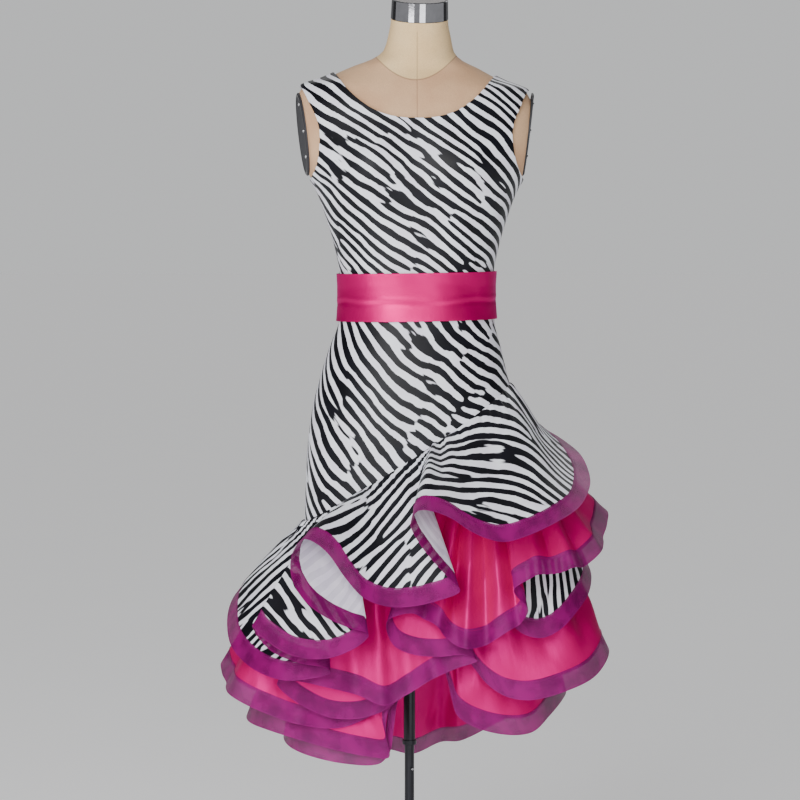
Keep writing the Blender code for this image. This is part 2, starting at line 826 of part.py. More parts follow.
def neck_cap():
    """A chrome cap on the tipped top of the neck, with a dark disc let into it."""
    top = FORM_SECTIONS[0]
    seat = Matrix.Translation((top.aside, top.centre, top.height + CAP_GAP))
    seat @= Matrix.Rotation(math.atan(SHOULDER_TILT), 4, "Y")
    seat @= Matrix.Rotation(math.radians(top.lean), 4, "X")
    height, outer, inner, sunk = 29.0, 44.0, 40.0, 3.0
    turned(
        "neck_cap",
        [(0, 0), (outer, 0), (outer - 1, height - 1), (outer - 2, height), (inner, height),
         (inner, height - sunk), (0, height - sunk)],
        "chrome",
        place=seat,
    )
    turned(
        "neck_cap_disc",
        [(0, height - sunk + SEAM_GAP), (inner - SEAM_GAP, height - sunk + SEAM_GAP),
         (inner - SEAM_GAP, height - 1), (0, height - 0.6)],
        "black_metal",
        place=seat,
    )


def arm_plate(name, side):
    """An oval metal plate on the flat where the form's arm is cut away."""
    low, high, out = arm_cut(side)
    up = (high - low).normalized()
    ahead = Vector((0, -1, 0))
    ahead = (ahead - out * ahead.dot(out)).normalized()
    middle = (low + high) / 2 + ahead * 2 - up * 2
    half_height, half_depth, steps = 64.0, 44.0, 32
    grid = bmesh.new()
    rings = []
    for lift, inset in ((SEAM_GAP, 0.0), (SEAM_GAP + ARM_PLATE_WALL - 1, 0.0), (SEAM_GAP + ARM_PLATE_WALL, 1.2)):
        ring = []
        for i in range(steps):
            turn = 2 * math.pi * i / steps
            point = middle + out * lift
            point += up * (half_height - inset) * math.sin(turn)
            point += ahead * (half_depth - inset) * math.cos(turn)
            ring.append(grid.verts.new(point))
        rings.append(ring)
    for a, b in zip(rings, rings[1:]):
        for i in range(steps):
            j = (i + 1) % steps
            grid.faces.new((a[i], a[j], b[j], b[i]))
    grid.faces.new(rings[0])
    grid.faces.new(rings[-1])
    bmesh.ops.recalc_face_normals(grid, faces=grid.faces)
    return add_object(name, grid, "black_metal")


def stand():
    under = FORM_BASE - SEAM_GAP
    turned(
        "form_flange",
        [(0, under - FLANGE_WALL), (FLANGE_RADIUS, under - FLANGE_WALL), (FLANGE_RADIUS, under), (0, under)],
        "black_metal",
        steps=24,
    )
    top = under - FLANGE_WALL - SEAM_GAP
    tube(
        "pole_upper_tube",
        [(POLE_BORE, POLE_END), (POLE_RADIUS, POLE_END), (POLE_RADIUS, top), (POLE_BORE, top)],
        "black_metal",
    )
    collar = POLE_RADIUS + SEAM_GAP
    tube(
        "pole_collar",
        [(collar, POLE_END), (COLLAR_RADIUS - 0.5, POLE_END), (COLLAR_RADIUS, POLE_END + 1),
         (COLLAR_RADIUS, POLE_END + COLLAR_HEIGHT), (collar, POLE_END + COLLAR_HEIGHT)],
        "black_metal",
    )
    foot = BASE_WALL + SEAM_GAP
    turned(
        "pole_lower_rod",
        [(0, foot), (ROD_RADIUS, foot), (ROD_RADIUS, ROD_TOP - 1), (ROD_RADIUS - 1, ROD_TOP), (0, ROD_TOP)],
        "black_metal",
        steps=16,
    )
    across = Matrix.Translation((0, -ROD_RADIUS - SEAM_GAP, BUTTON_HEIGHT))
    across = Matrix.Rotation(math.radians(30), 4, "Z") @ across @ Matrix.Rotation(math.radians(90), 4, "X")
    turned(
        "pole_button",
        [(0, 0), (BUTTON_RADIUS, 0), (BUTTON_RADIUS, BUTTON_OUT - 0.6), (BUTTON_RADIUS - 0.8, BUTTON_OUT), (0, BUTTON_OUT)],
        "chrome",
        steps=12,
        place=across,
    )
    turned(
        "stand_base",
        [(0, 0), (BASE_RADIUS - 1, 0), (BASE_RADIUS, 1), (BASE_RADIUS, BASE_WALL - 2), (BASE_RADIUS - 2, BASE_WALL), (0, BASE_WALL)],
        "black_metal",
        steps=48,
    )


def tube(name, profile, finish, steps=16):
    """A turned piece with a bore, from (radius, height) pairs that close on themselves."""
    return turned(name, list(profile) + [profile[0]], finish, steps)


def main():
    clear_scene()
    form_torso()
    neck_cap()
    arm_plate("arm_plate_right", 1)
    arm_plate("arm_plate_left", -1)
    bodice_panel("bodice_front", True)
    bodice_panel("bodice_back", False)
    sash()
    skirt_panel("skirt_front", 0)
    skirt_panel("skirt_back", 180)
    underskirt()
    fronts = (ZEBRA_FRONT, SATIN_1_FRONT, SATIN_2_FRONT, SATIN_3_FRONT)
    for tier, front in zip(TIERS, fronts):
        ring_flounce(tier, front)
    tail = Flounce(ZEBRA_TAIL, TAIL_SEAM_HEIGHT, TAIL_SEAM_SLOPE, closed=False)
    flounce_pieces("zebra_tail", tail, (("", 0, len(ZEBRA_TAIL) - 1),), "zebra_jersey")
    stand()


main()
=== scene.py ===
"""Rumba dance dress on its dress form and stand: fine cloth, finishes, light and camera."""

import math
from collections import namedtuple
from functools import lru_cache

import bmesh
import bpy
import numpy as np
from mathutils import Matrix, Vector


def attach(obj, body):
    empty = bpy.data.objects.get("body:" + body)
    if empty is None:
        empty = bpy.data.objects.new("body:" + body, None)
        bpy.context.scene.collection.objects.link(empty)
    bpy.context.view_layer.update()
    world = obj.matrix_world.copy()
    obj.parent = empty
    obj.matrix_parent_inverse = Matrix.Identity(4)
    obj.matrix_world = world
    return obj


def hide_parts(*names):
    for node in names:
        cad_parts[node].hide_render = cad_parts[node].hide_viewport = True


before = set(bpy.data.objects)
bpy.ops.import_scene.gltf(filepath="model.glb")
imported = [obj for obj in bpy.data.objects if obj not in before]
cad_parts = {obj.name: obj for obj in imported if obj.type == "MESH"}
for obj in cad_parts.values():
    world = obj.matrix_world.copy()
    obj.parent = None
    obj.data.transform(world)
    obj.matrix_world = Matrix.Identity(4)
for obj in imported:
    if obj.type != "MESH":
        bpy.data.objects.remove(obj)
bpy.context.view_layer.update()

MM = 0.001

# ---------------------------------------------------------------- driving sizes, in mm
SEAM_GAP = 0.3
CLOTH = 1.2
THIN_CLOTH = 0.8
EASE = 1.3
SIDE = 90.0

WAIST_SEAM = 1041.0
SASH_TOP = 1078.0
SASH_BOTTOM = 1004.0
SASH_WALL = 1.6
SASH_RISE = 0.9
SASH_EASE = 2.5
SASH_OVERLAP = 14.0

SHOULDER_TIP = 1359.0
NECK_SIDE = 1381.0
FRONT_NECK_DROP = 70.0
BACK_NECK_DROP = 44.0
NECK_HALF_WIDTH = 122.5
NECK_CURVE = 2.6
ARMHOLE_MIDDLE = 1290.0
ARMHOLE_HALF_HEIGHT = 69.0
FRONT_ARMHOLE_DEPTH = 43.0
BACK_ARMHOLE_DEPTH = 40.0

HIP_SEAM_MIDDLE = 799.0
HIP_SEAM_SLOPE = 0.655

BUST_HEIGHT = 1236.0
BUST_APART = 74.0
BUST_SPREAD = 46.0
BUST_RISE = 15.0
SHOULDER_TILT = 0.02

ARM_CUT_TOP = 180.0, 1362.0
ARM_CUT_BOTTOM = 163.5, 1222.0
ARM_ASIDE = 8.5
ARM_TURN_LEFT = 9.0
ARM_TURN_RIGHT = 0.0
ARM_PLATE_WALL = 3.0

# ---------------------------------------------------------------- finishes
class Wire:
    """A number or colour that runs between shader nodes, so that sums read as sums."""

    def __init__(self, paint, socket):
        self.paint = paint
        self.socket = socket

    def sum(self, operation, *others):
        return self.paint.node("ShaderNodeMath", {"operation": operation}, dict(enumerate((self, *others))))

    def __add__(self, other):
        return self.sum("ADD", other)

    def __radd__(self, other):
        return self.sum("ADD", other)

    def __sub__(self, other):
        return self.sum("SUBTRACT", other)

    def __rsub__(self, other):
        return (self * -1) + other

    def __mul__(self, other):
        return self.sum("MULTIPLY", other)

    def __rmul__(self, other):
        return self.sum("MULTIPLY", other)

    def __truediv__(self, other):
        return self.sum("DIVIDE", other)

    def __pow__(self, other):
        return self.sum("POWER", other)

    def __abs__(self):
        return self.sum("ABSOLUTE")

    def soft(self, low, high):
        """0 below low, 1 above high, and a soft rise between. Swapped, it falls."""
        if low > high:
            return 1 - self.soft(high, low)
        inputs = {"Value": self, "From Min": low, "From Max": high}
        settings = {"interpolation_type": "SMOOTHSTEP"}
        return self.paint.node("ShaderNodeMapRange", settings, inputs)


class Paint:
    """A material with its Principled shader, and one way to add any other node."""

    def __init__(self, name, roughness, metallic=0.0, **fixed):
        self.made = bpy.data.materials.new(name)
        self.made.use_nodes = True
        self.tree = self.made.node_tree
        self.shader = self.tree.nodes["Principled BSDF"]
        self.set("Roughness", roughness)
        self.set("Metallic", metallic)
        for title, value in fixed.items():
            self.set(title.replace("_", " "), value)

    def set(self, title, value):
        socket = self.shader.inputs[title]
        if isinstance(value, Wire):
            self.tree.links.new(value.socket, socket)
        else:
            socket.default_value = value

    def node(self, kind, settings=None, inputs=None, output=0):
        made = self.tree.nodes.new(kind)
        for title, value in (settings or {}).items():
            setattr(made, title, value)
        for title, value in (inputs or {}).items():
            if isinstance(value, Wire):
                self.tree.links.new(value.socket, made.inputs[title])
            else:
                made.inputs[title].default_value = value
        return Wire(self, made.outputs[output])

    def flat(self, layer):
        """Across and along places in metres on one of the cloth's flat maps."""
        place = self.node("ShaderNodeUVMap", {"uv_map": layer})
        return place, *(
            self.node("ShaderNodeSeparateXYZ", None, {0: place}, output) for output in (0, 1)
        )

    def place(self):
        return self.node("ShaderNodeTexCoord", None, None, "Object")

    def noise(self, at, scale, detail=2.0, output="Fac", **more):
        inputs = {"Vector": at, "Scale": scale, "Detail": detail}
        inputs.update({title.replace("_", " "): value for title, value in more.items()})
        return self.node("ShaderNodeTexNoise", None, inputs, output)

    def pair(self, x, y):
        return self.node("ShaderNodeCombineXYZ", None, {0: x, 1: y})

    def mix(self, share, first, second):
        settings = {"data_type": "RGBA"}
        return self.node("ShaderNodeMix", settings, {0: share, 6: first, 7: second}, 2)

    def bump(self, height, strength, distance):
        inputs = {"Height": height, "Strength": strength, "Distance": distance}
        self.set("Normal", self.node("ShaderNodeBump", None, inputs))


def rgb(red, green, blue):
    """A colour given as it looks on a screen, from 0 to 255."""
    def linear(value):
        value /= 255
        return value / 12.92 if value <= 0.04045 else ((value + 0.055) / 1.055) ** 2.4

    return linear(red), linear(green), linear(blue), 1.0


def zebra_stripes(paint, turn, fine):
    """Where the print is black: long bent stripes that fork and end in points."""
    _, x, y = paint.flat("cut")
    cos, sin = fine * math.cos(math.radians(turn)), fine * math.sin(math.radians(turn))
    along = x * cos + y * sin
    across = y * cos - x * sin
    sway = paint.noise(paint.pair(along * 5.0, across * 9.0), 1.0, 1.0) - 0.5
    bend = paint.noise(paint.pair(along * 17.0 + 4.0, across * 26.0), 1.0, 2.0) - 0.5
    teeth = paint.noise(paint.pair(along * 130.0, across * 420.0), 1.0, 2.0) - 0.5
    drift = paint.noise(paint.pair(along * 8.0, across * 8.0 + 5.0), 1.0, 1.0) - 0.5
    at = paint.pair(along + drift * 0.03, across + sway * 0.036 + bend * 0.007 + teeth * 0.0013)
    inputs = {"Vector": at, "Scale": 14.0, "Frequency": 4.0, "Anisotropy": 1.0}
    inputs["Orientation"] = math.radians(90)
    wave = paint.node("ShaderNodeTexGabor", {"gabor_type": "2D"}, inputs, "Value")
    streak = paint.noise(paint.pair(along * 12.0, across * 78.0), 1.0, 2.0) - 0.5
    level = wave + streak * 0.42
    return level.soft(0.483, 0.503)


def knit(x, y, size):
    """Small even stitches of a jersey."""
    across = (x * (2 * math.pi / size)).sum("SINE")
    along = (y * (2 * math.pi / size) + across * 0.8).sum("SINE")
    return across * 0.5 + along * 0.5


def make_zebra_jersey(name, turn, fine):
    paint = Paint(name, 0.55, Specular_IOR_Level=0.22, Sheen_Weight=0.02, Sheen_Roughness=0.4)
    place, x, y = paint.flat("cut")
    black = zebra_stripes(paint, turn, fine)
    shade = paint.noise(place, 30.0, 3.0).soft(0.3, 0.7)
    white = paint.mix(shade, rgb(229, 226, 238), rgb(240, 243, 249))
    ink = paint.mix(shade, rgb(6, 6, 12), rgb(13, 13, 22))
    paint.set("Base Color", paint.mix(black, white, ink))
    paint.set("Roughness", 0.55 - black * 0.12)
    paint.bump(knit(x, y, 0.0014), 0.10, 0.0004)
    return paint.made


def make_jersey_reverse():
    paint = Paint("jersey_reverse", 0.72, Specular_IOR_Level=0.3)
    place, x, y = paint.flat("cut")
    ghost = zebra_stripes(paint, 20, 1.0)
    shade = paint.noise(place, 24.0, 3.0).soft(0.3, 0.7)
    white = paint.mix(shade, rgb(214, 208, 226), rgb(230, 226, 238))
    paint.set("Base Color", paint.mix(ghost * 0.22, white, rgb(128, 120, 146)))
    paint.bump(knit(x, y, 0.0014), 0.10, 0.0004)
    return paint.made


def make_pink_satin(name, pull, shine, deep, bright):
    """Glossy satin. pull is how strongly it drags into long soft wrinkles."""
    paint = Paint(name, 0.32, shine, Specular_IOR_Level=0.5, Anisotropic=0.3)
    paint.set("Specular Tint", rgb(255, 50, 235))
    place, along, up = paint.flat("edge")
    depth = paint.noise(place, 11.0, 2.0).soft(0.25, 0.75)
    slub = paint.noise(paint.pair(along * 900.0, up * 70.0), 1.0, 2.0)
    paint.set("Base Color", paint.mix(depth, deep, bright))
    paint.set("Roughness", 0.31 + slub * 0.08)
    drag = paint.noise(paint.pair(along * 21.0 + up * 10.0, up * 8.0), 1.0, 1.0, Distortion=0.5)
    small = paint.noise(paint.pair(along * 85.0, up * 30.0 + 3.0), 1.0, 2.0)
    paint.bump(slub * 0.03 + drag * (0.9 * pull) + small * (0.10 * pull), 0.8, 0.0040)
    return paint.made


def make_crinoline_braid():
    """An open slanting weave that lets what is behind it show through."""
    paint = Paint("crinoline_braid", 0.40, Specular_IOR_Level=0.35)
    paint.set("Specular Tint", rgb(255, 170, 235))
    place, along, across = paint.flat("edge")
    turn = 2 * math.pi / 0.0018
    one = abs(((along + across) * turn).sum("SINE"))
    other = abs(((along - across) * turn).sum("SINE"))
    weave = (one * other).soft(0.05, 0.85)
    seam = abs(across - 0.0245).soft(0.0016, 0.0006)
    rim = across.soft(0.0018, 0.0008)
    stitch = ((along * (2 * math.pi / 0.0042)).sum("SINE")).soft(-0.4, 0.3) * seam
    shade = paint.noise(place, 26.0, 2.0).soft(0.3, 0.7)
    colour = paint.mix(shade, rgb(110, 0, 84), rgb(146, 2, 110))
    colour = paint.mix(stitch * 0.6, colour, rgb(96, 8, 70))
    paint.set("Base Color", colour)
    paint.set("Alpha", 0.70 + weave * 0.12 + rim * 0.16 + seam * 0.14)
    paint.bump(one + other, 0.25, 0.0003)
    return paint.made


def make_form_linen():
    """Linen glued over the form, with a seam round the neck and one down the front."""
    paint = Paint("form_linen", 0.86, Specular_IOR_Level=0.25, Sheen_Weight=0.05)
    place = paint.place()
    x, y, z = (paint.node("ShaderNodeSeparateXYZ", None, {0: place}, axis) for axis in range(3))
    across = ((x - 0.009) / 0.062) ** 2
    ahead = y.soft(0.0, -0.036)
    level = 1.408 - (1 - across.sum("MINIMUM", 1.0)) * ahead * 0.038
    above = z - level
    neck = above.soft(-0.0006, 0.0006)
    seam = abs(above).soft(0.0016, 0.0005)
    middle = abs(x - 0.0115).soft(0.0013, 0.0004) * ahead * z.soft(1.446, 1.440)
    weave = paint.noise(place, 620.0, 2.0)
    patch = paint.noise(place, 14.0, 3.0).soft(0.3, 0.7)
    chest = paint.mix(patch, rgb(200, 158, 122), rgb(214, 176, 138))
    throat = paint.mix(patch, rgb(226, 192, 140), rgb(238, 208, 158))
    colour = paint.mix(neck, chest, throat)
    colour = paint.mix((weave - 0.5) * 0.5 + 0.12, colour, rgb(150, 112, 92))
    colour = paint.mix((seam + middle * 0.7).sum("MINIMUM", 1.0) * 0.45, colour, rgb(112, 78, 60))
    paint.set("Base Color", colour)
    paint.bump(weave * 0.4 - seam - middle, 0.6, 0.0006)
    return paint.made


def make_metal(name, colour, roughness, metallic, scratch):
    """Plain metal with faint wear in its shine."""
    paint = Paint(name, roughness, metallic)
    place = paint.place()
    wear = paint.noise(place, 90.0, 4.0)
    worn = tuple(0.85 * part for part in colour[:3]) + (1.0,)
    paint.set("Base Color", paint.mix(wear.soft(0.3, 0.8), colour, worn))
    paint.set("Roughness", (wear - 0.5) * scratch + roughness)
    paint.bump(paint.noise(place, 240.0, 2.0), 0.05, 0.0003)
    return paint.made


def make_floor_paper():
    paint = Paint("floor_paper", 0.9, Specular_IOR_Level=0.2, Emission_Strength=0.24)
    paint.set("Emission Color", (1.0, 1.0, 1.0, 1.0))
    grain = paint.noise(paint.place(), 3.0, 2.0)
    paint.set("Base Color", paint.mix(grain, rgb(236, 236, 238), rgb(240, 240, 241)))
    return paint.made


zebra_bodice = make_zebra_jersey("zebra_jersey_bodice", -38, 1.16)
zebra_skirt = make_zebra_jersey("zebra_jersey_skirt", -50, 1.10)
zebra_flounce = make_zebra_jersey("zebra_jersey_flounce", 0, 1.0)
jersey_reverse = make_jersey_reverse()
pink_satin = make_pink_satin("pink_satin", 1.0, 0.22, rgb(182, 0, 88), rgb(206, 0, 106))
sash_satin = make_pink_satin("sash_satin", 0.16, 0.66, rgb(190, 0, 94), rgb(206, 0, 106))
crinoline_braid = make_crinoline_braid()
form_linen = make_form_linen()
chrome = make_metal("chrome", (0.34, 0.34, 0.36, 1.0), 0.06, 1.0, 0.03)
bright_screw = make_metal("bright_screw", (0.78, 0.78, 0.80, 1.0), 0.18, 1.0, 0.06)
black_metal = make_metal("black_metal", (0.022, 0.022, 0.027, 1.0), 0.30, 0.7, 0.12)
plate_grey = make_metal("plate_grey", (0.030, 0.030, 0.036, 1.0), 0.55, 0.1, 0.10)
brown_disc = make_metal("brown_disc", (0.060, 0.035, 0.028, 1.0), 0.32, 0.3, 0.10)

# ---------------------------------------------------------------- the figure
Section = namedtuple("Section", "height aside half_width front back centre lean round_by")

# The form's level sections, from the neck down. aside is how far the section stands
# to the viewer's right of the pole. front and back are measured from its centre, lean
# is how far it tips forwards, in degrees, and round_by is the power of the
# superellipse: 2 is an ellipse and more is squarer.
FORM_SECTIONS = (
    Section(1464, 15, 44.0, 43, 43, -30, 13, 2.0),
    Section(1438, 15, 48.5, 47, 48, -23, 10, 2.0),
    Section(1416, 14, 55.0, 53, 56, -14, 5, 2.0),
    Section(1404, 12, 70.0, 58, 62, -8, 2, 2.0),
    Section(1394, 10, 95.0, 62, 66, -3, 0, 2.0),
    Section(1384, 8, 117.0, 66, 71, 0, 0, 2.1),
    Section(1372, 7.5, 143.0, 72, 76, 0, 0, 2.2),
    Section(1359, 7, 175.0, 78, 81, 0, 0, 2.3),
    Section(1325, 8.5, 188.0, 90, 92, 0, 0, 2.5),
    Section(1275, 10, 184.0, 102, 98, 0, 0, 2.5),
    Section(1236, 11, 170.5, 106, 97, 0, 0, 2.4),
    Section(1200, 11, 151.0, 103, 92, 0, 0, 2.3),
    Section(1160, 11, 136.5, 96, 86, 0, 0, 2.2),
    Section(1118, 11, 124.5, 89, 80, 0, 0, 2.2),
    Section(1075, 11, 116.5, 84, 76, 0, 0, 2.2),
    Section(1041, 11, 115.5, 83, 76, 0, 0, 2.2),
    Section(1004, 11, 117.5, 85, 81, 0, 0, 2.2),
    Section(960, 8.5, 130.5, 92, 94, 0, 0, 2.2),
    Section(915, 7, 143.0, 98, 106, 0, 0, 2.2),
    Section(870, 7, 154.5, 102, 113, 0, 0, 2.2),
    Section(820, 7, 161.5, 103, 116, 0, 0, 2.2),
    Section(785, 7, 163.0, 102, 114, 0, 0, 2.2),
    Section(760, 7, 160.0, 98, 108, 0, 0, 2.2),
    Section(745, 7, 150.0, 88, 98, 0, 0, 2.2),
)

# Below the hips the skirt hangs from the form without touching it.
HANG_SECTIONS = (
    Section(785, 7, 164.0, 101, 116, 0, 0, 2.2),
    Section(700, 7, 167.0, 99, 118, 0, 0, 2.2),
    Section(560, 7, 168.0, 96, 119, 0, 0, 2.1),
    Section(400, 7, 168.0, 94, 120, 0, 0, 2.0),
)
SKIRT_SECTIONS = FORM_SECTIONS[:21] + HANG_SECTIONS


def between(rows, height):
    """The table's row for one height, on a smooth curve that never overshoots its rows."""
    keys = [row[0] for row in rows]
    height = max(min(height, keys[0]), keys[-1])
    i = next(k for k in range(len(rows) - 1) if height >= keys[k + 1])
    span = keys[i + 1] - keys[i]
    t = (height - keys[i]) / span

    def slope(column, k):
        if k == 0 or k == len(rows) - 1:
            return 0.0
        before = (rows[k][column] - rows[k - 1][column]) / (keys[k] - keys[k - 1])
        after = (rows[k + 1][column] - rows[k][column]) / (keys[k + 1] - keys[k])
        return 0.0 if before * after <= 0 else 2 * before * after / (before + after)

    def value(column):
        a, b = rows[i][column], rows[i + 1][column]
        ma, mb = slope(column, i) * span, slope(column, i + 1) * span
        return (
            a * (1 + 2 * t) * (1 - t) ** 2
            + ma * t * (1 - t) ** 2
            + b * t * t * (3 - 2 * t)
            + mb * t * t * (t - 1)
        )

    return Section(height, *(value(column) for column in range(1, len(rows[0]))))


def signed_power(value, power):
    return math.copysign(abs(value) ** power, value)


def figure_point(rows, angle, height):
    """The point of the figure at an angle and a height."""
    row = between(rows, height)
    turn = math.radians(angle)
    power = 2 / row.round_by
    x = row.half_width * signed_power(math.sin(turn), power)
    ahead = signed_power(math.cos(turn), power)
    y = -ahead * (row.front if ahead > 0 else row.back)
    if ahead > 0:
        off_bust = (abs(x) - BUST_APART) / BUST_SPREAD, (height - BUST_HEIGHT) / BUST_SPREAD
        y -= BUST_RISE * ahead * math.exp(-off_bust[0] ** 2 - off_bust[1] ** 2)
    z = height + y * math.tan(math.radians(row.lean))
    z -= SHOULDER_TILT * x * min(max((height - 1250) / 100, 0.0), 1.0)
    return Vector((x + row.aside, y + row.centre, z))


def off_figure(rows, angle, height, out):
    """The figure's point moved straight out of its surface."""
    step = 1.0
    low, high = max(height - step, rows[-1][0]), min(height + step, rows[0][0])
    across = figure_point(rows, angle + step, height) - figure_point(rows, angle - step, height)
    up = figure_point(rows, angle, high) - figure_point(rows, angle, low)
    return figure_point(rows, angle, height) + across.cross(up).normalized() * out


def angle_of(rows, x, height):
    """The angle in front at which the figure's section reaches x from its middle."""
    row = between(rows, height)
    share = min(abs(x) / row.half_width, 1.0) ** (row.round_by / 2)
    return math.copysign(math.degrees(math.asin(share)), x)


# ---------------------------------------------------------------- flounces
Fold = namedtuple("Fold", "seam_angle across toward up")

# Where each flounce's hem goes over the front, from the wearer's right to left. A row
# is a crest, a hollow or the side of one: the angle at which that line of cloth leaves
# its seam, then its end at the hem. across is X, toward is Y and up is the height.

ZEBRA_FRONT = (
    Fold(-100, -227, 75, 595),
    Fold(-93, -259, 48, 585),
    Fold(-86, -277, 15, 566),
    Fold(-80, -282, -30, 538),
    Fold(-74, -271, -85, 506),
    Fold(-69, -238, -134, 483),
    Fold(-64, -190, -170, 471),
    Fold(-60, -140, -178, 476),
    Fold(-57.5, -118, -178, 483),
    Fold(-55.5, -125, -179, 491),
    Fold(-53, -164, -178, 498),
    Fold(-51, -204, -180, 515),
    Fold(-49.5, -227, -187, 540),
    Fold(-48.3, -234, -196, 557),
    Fold(-47, -222, -205, 543),
    Fold(-45, -177, -212, 516),
    Fold(-42, -126, -212, 510),
    Fold(-39.5, -81, -211, 526),
    Fold(-37, -61, -211, 546),
    Fold(-35, -89, -212, 556),
    Fold(-33, -125, -214, 573),
    Fold(-31, -156, -215, 598),
    Fold(-29, -174, -217, 631),
    Fold(-27, -174, -216, 665),
    Fold(-25, -156, -218, 689),
    Fold(-22.5, -125, -219, 672),
    Fold(-19.5, -94, -220, 630),
    Fold(-16, -68, -220, 602),
    Fold(-12, -32, -221, 589),
    Fold(-8, 6, -222, 590),
    Fold(-4, 44, -223, 599),
    Fold(-1, 74, -225, 613),
    Fold(1, 56, -229, 634),
    Fold(3, 32, -232, 661),
    Fold(5, 12, -235, 688),
    Fold(7, 1, -238, 714),
    Fold(9, 12, -240, 733),
    Fold(11, 35, -242, 732),
    Fold(14, 61, -244, 722),
    Fold(18, 85, -245, 706),
    Fold(23, 110, -246, 694),
    Fold(30, 139, -245, 688),
    Fold(38, 176, -240, 698),
    Fold(47, 216, -224, 715),
    Fold(57, 249, -192, 732),
    Fold(66, 267, -150, 752),
    Fold(75, 273, -100, 770),
    Fold(84, 265, -45, 795),
    Fold(92, 247, 10, 811),
    Fold(100, 218, 60, 826),
)

SATIN_1_FRONT = (
    Fold(-100, -269, 85, 476),
    Fold(-93, -286, 48, 466),
    Fold(-86, -293, 8, 453),
    Fold(-79, -285, -38, 439),
    Fold(-72, -263, -80, 425),
    Fold(-65, -225, -104, 411),
    Fold(-57, -170, -115, 394),
    Fold(-48, -106, -119, 389),
    Fold(-42, -51, -125, 412),
    Fold(-39, -24, -126, 427),
    Fold(-37.5, -45, -128, 414),
    Fold(-36.2, -81, -130, 405),
    Fold(-35, -124, -132, 408),
    Fold(-33.8, -163, -134, 426),
    Fold(-32.6, -191, -136, 447),
    Fold(-31.4, -200, -138, 461),
    Fold(-29, -174, -142, 465),
    Fold(-24.5, -128, -149, 457),
    Fold(-19.5, -79, -155, 446),
    Fold(-15.5, -37, -157, 430),
    Fold(-12, -3, -159, 448),
    Fold(-8, 33, -162, 470),
    Fold(-4.5, 68, -165, 487),
    Fold(-1.5, 101, -168, 500),
    Fold(1, 78, -171, 509),
    Fold(3.5, 45, -174, 507),
    Fold(6, 8, -176, 510),
    Fold(8, -21, -178, 522),
    Fold(10, -33, -180, 542),
    Fold(12, -34, -184, 561),
    Fold(14.5, -21, -187, 570),
    Fold(18, 5, -189, 574),
    Fold(22, 30, -191, 562),
    Fold(26, 54, -193, 538),
    Fold(30, 83, -195, 521),
    Fold(34, 116, -196, 531),
    Fold(38, 146, -197, 549),
    Fold(42, 172, -198, 571),
    Fold(44, 175, -200, 584),
    Fold(46, 160, -203, 600),
    Fold(48, 154, -206, 612),
    Fold(50.5, 167, -208, 623),
    Fold(54, 192, -208, 633),
    Fold(58, 222, -204, 637),
    Fold(63, 252, -192, 643),
    Fold(69, 279, -158, 655),
    Fold(75, 295, -112, 674),
    Fold(82, 302, -62, 692),
    Fold(89, 298, -12, 712),
    Fold(97, 281, 45, 729),
)

ZEBRA_TAIL = (
    Fold(28, 136, -128, 578),
    Fold(33, 145, -142, 564),
    Fold(38, 156, -152, 549),
    Fold(44, 174, -158, 537),
    Fold(51, 200, -158, 533),
    Fold(58, 227, -150, 545),
    Fold(66, 252, -128, 568),
    Fold(75, 272, -90, 590),
    Fold(85, 280, -40, 612),
    Fold(96, 276, 20, 628),
)

SATIN_2_FRONT = (
    Fold(-100, -212, 75, 397),
    Fold(-92, -238, 35, 396),
    Fold(-84, -253, -5, 389),
    Fold(-77, -247, -45, 384),
    Fold(-70, -217, -82, 379),
    Fold(-62, -167, -106, 368),
    Fold(-54, -112, -114, 354),
    Fold(-46, -57, -117, 344),
    Fold(-40, -31, -118, 344),
    Fold(-33, -36, -118, 378),
    Fold(-26, -33, -118, 413),
    Fold(-18, -12, -119, 444),
    Fold(-9, 22, -120, 472),
    Fold(0, 58, -123, 494),
    Fold(8, 82, -126, 500),
    Fold(16, 97, -131, 483),
    Fold(24, 118, -136, 458),
    Fold(32, 148, -140, 440),
    Fold(41, 186, -142, 436),
    Fold(50, 234, -138, 448),
    Fold(60, 276, -118, 464),
    Fold(70, 300, -82, 484),
    Fold(80, 307, -40, 499),
    Fold(90, 289, 20, 502),
    Fold(98, 258, 72, 514),
)

SATIN_3_FRONT = (
    Fold(-100, -174, 70, 363),
    Fold(-90, -191, 20, 359),
    Fold(-80, -195, -30, 356),
    Fold(-70, -181, -72, 349),
    Fold(-60, -149, -94, 340),
    Fold(-50, -99, -103, 331),
    Fold(-41, -48, -107, 331),
    Fold(-34, -30, -108, 350),
    Fold(-28, -24, -108, 387),
    Fold(-20, -16, -108, 433),
    Fold(-10, 13, -108, 473),
    Fold(0, 43, -109, 491),
    Fold(10, 55, -110, 469),
    Fold(18, 64, -112, 431),
    Fold(26, 73, -113, 406),
    Fold(35, 102, -114, 388),
    Fold(45, 149, -112, 377),
    Fold(56, 187, -100, 379),
    Fold(68, 214, -70, 398),
    Fold(80, 237, -20, 414),
    Fold(92, 247, 40, 419),
    Fold(100, 240, 80, 422),
)

Tier = namedtuple("Tier", "name seam_height seam_slope back_radius back_up waves wave_depth")

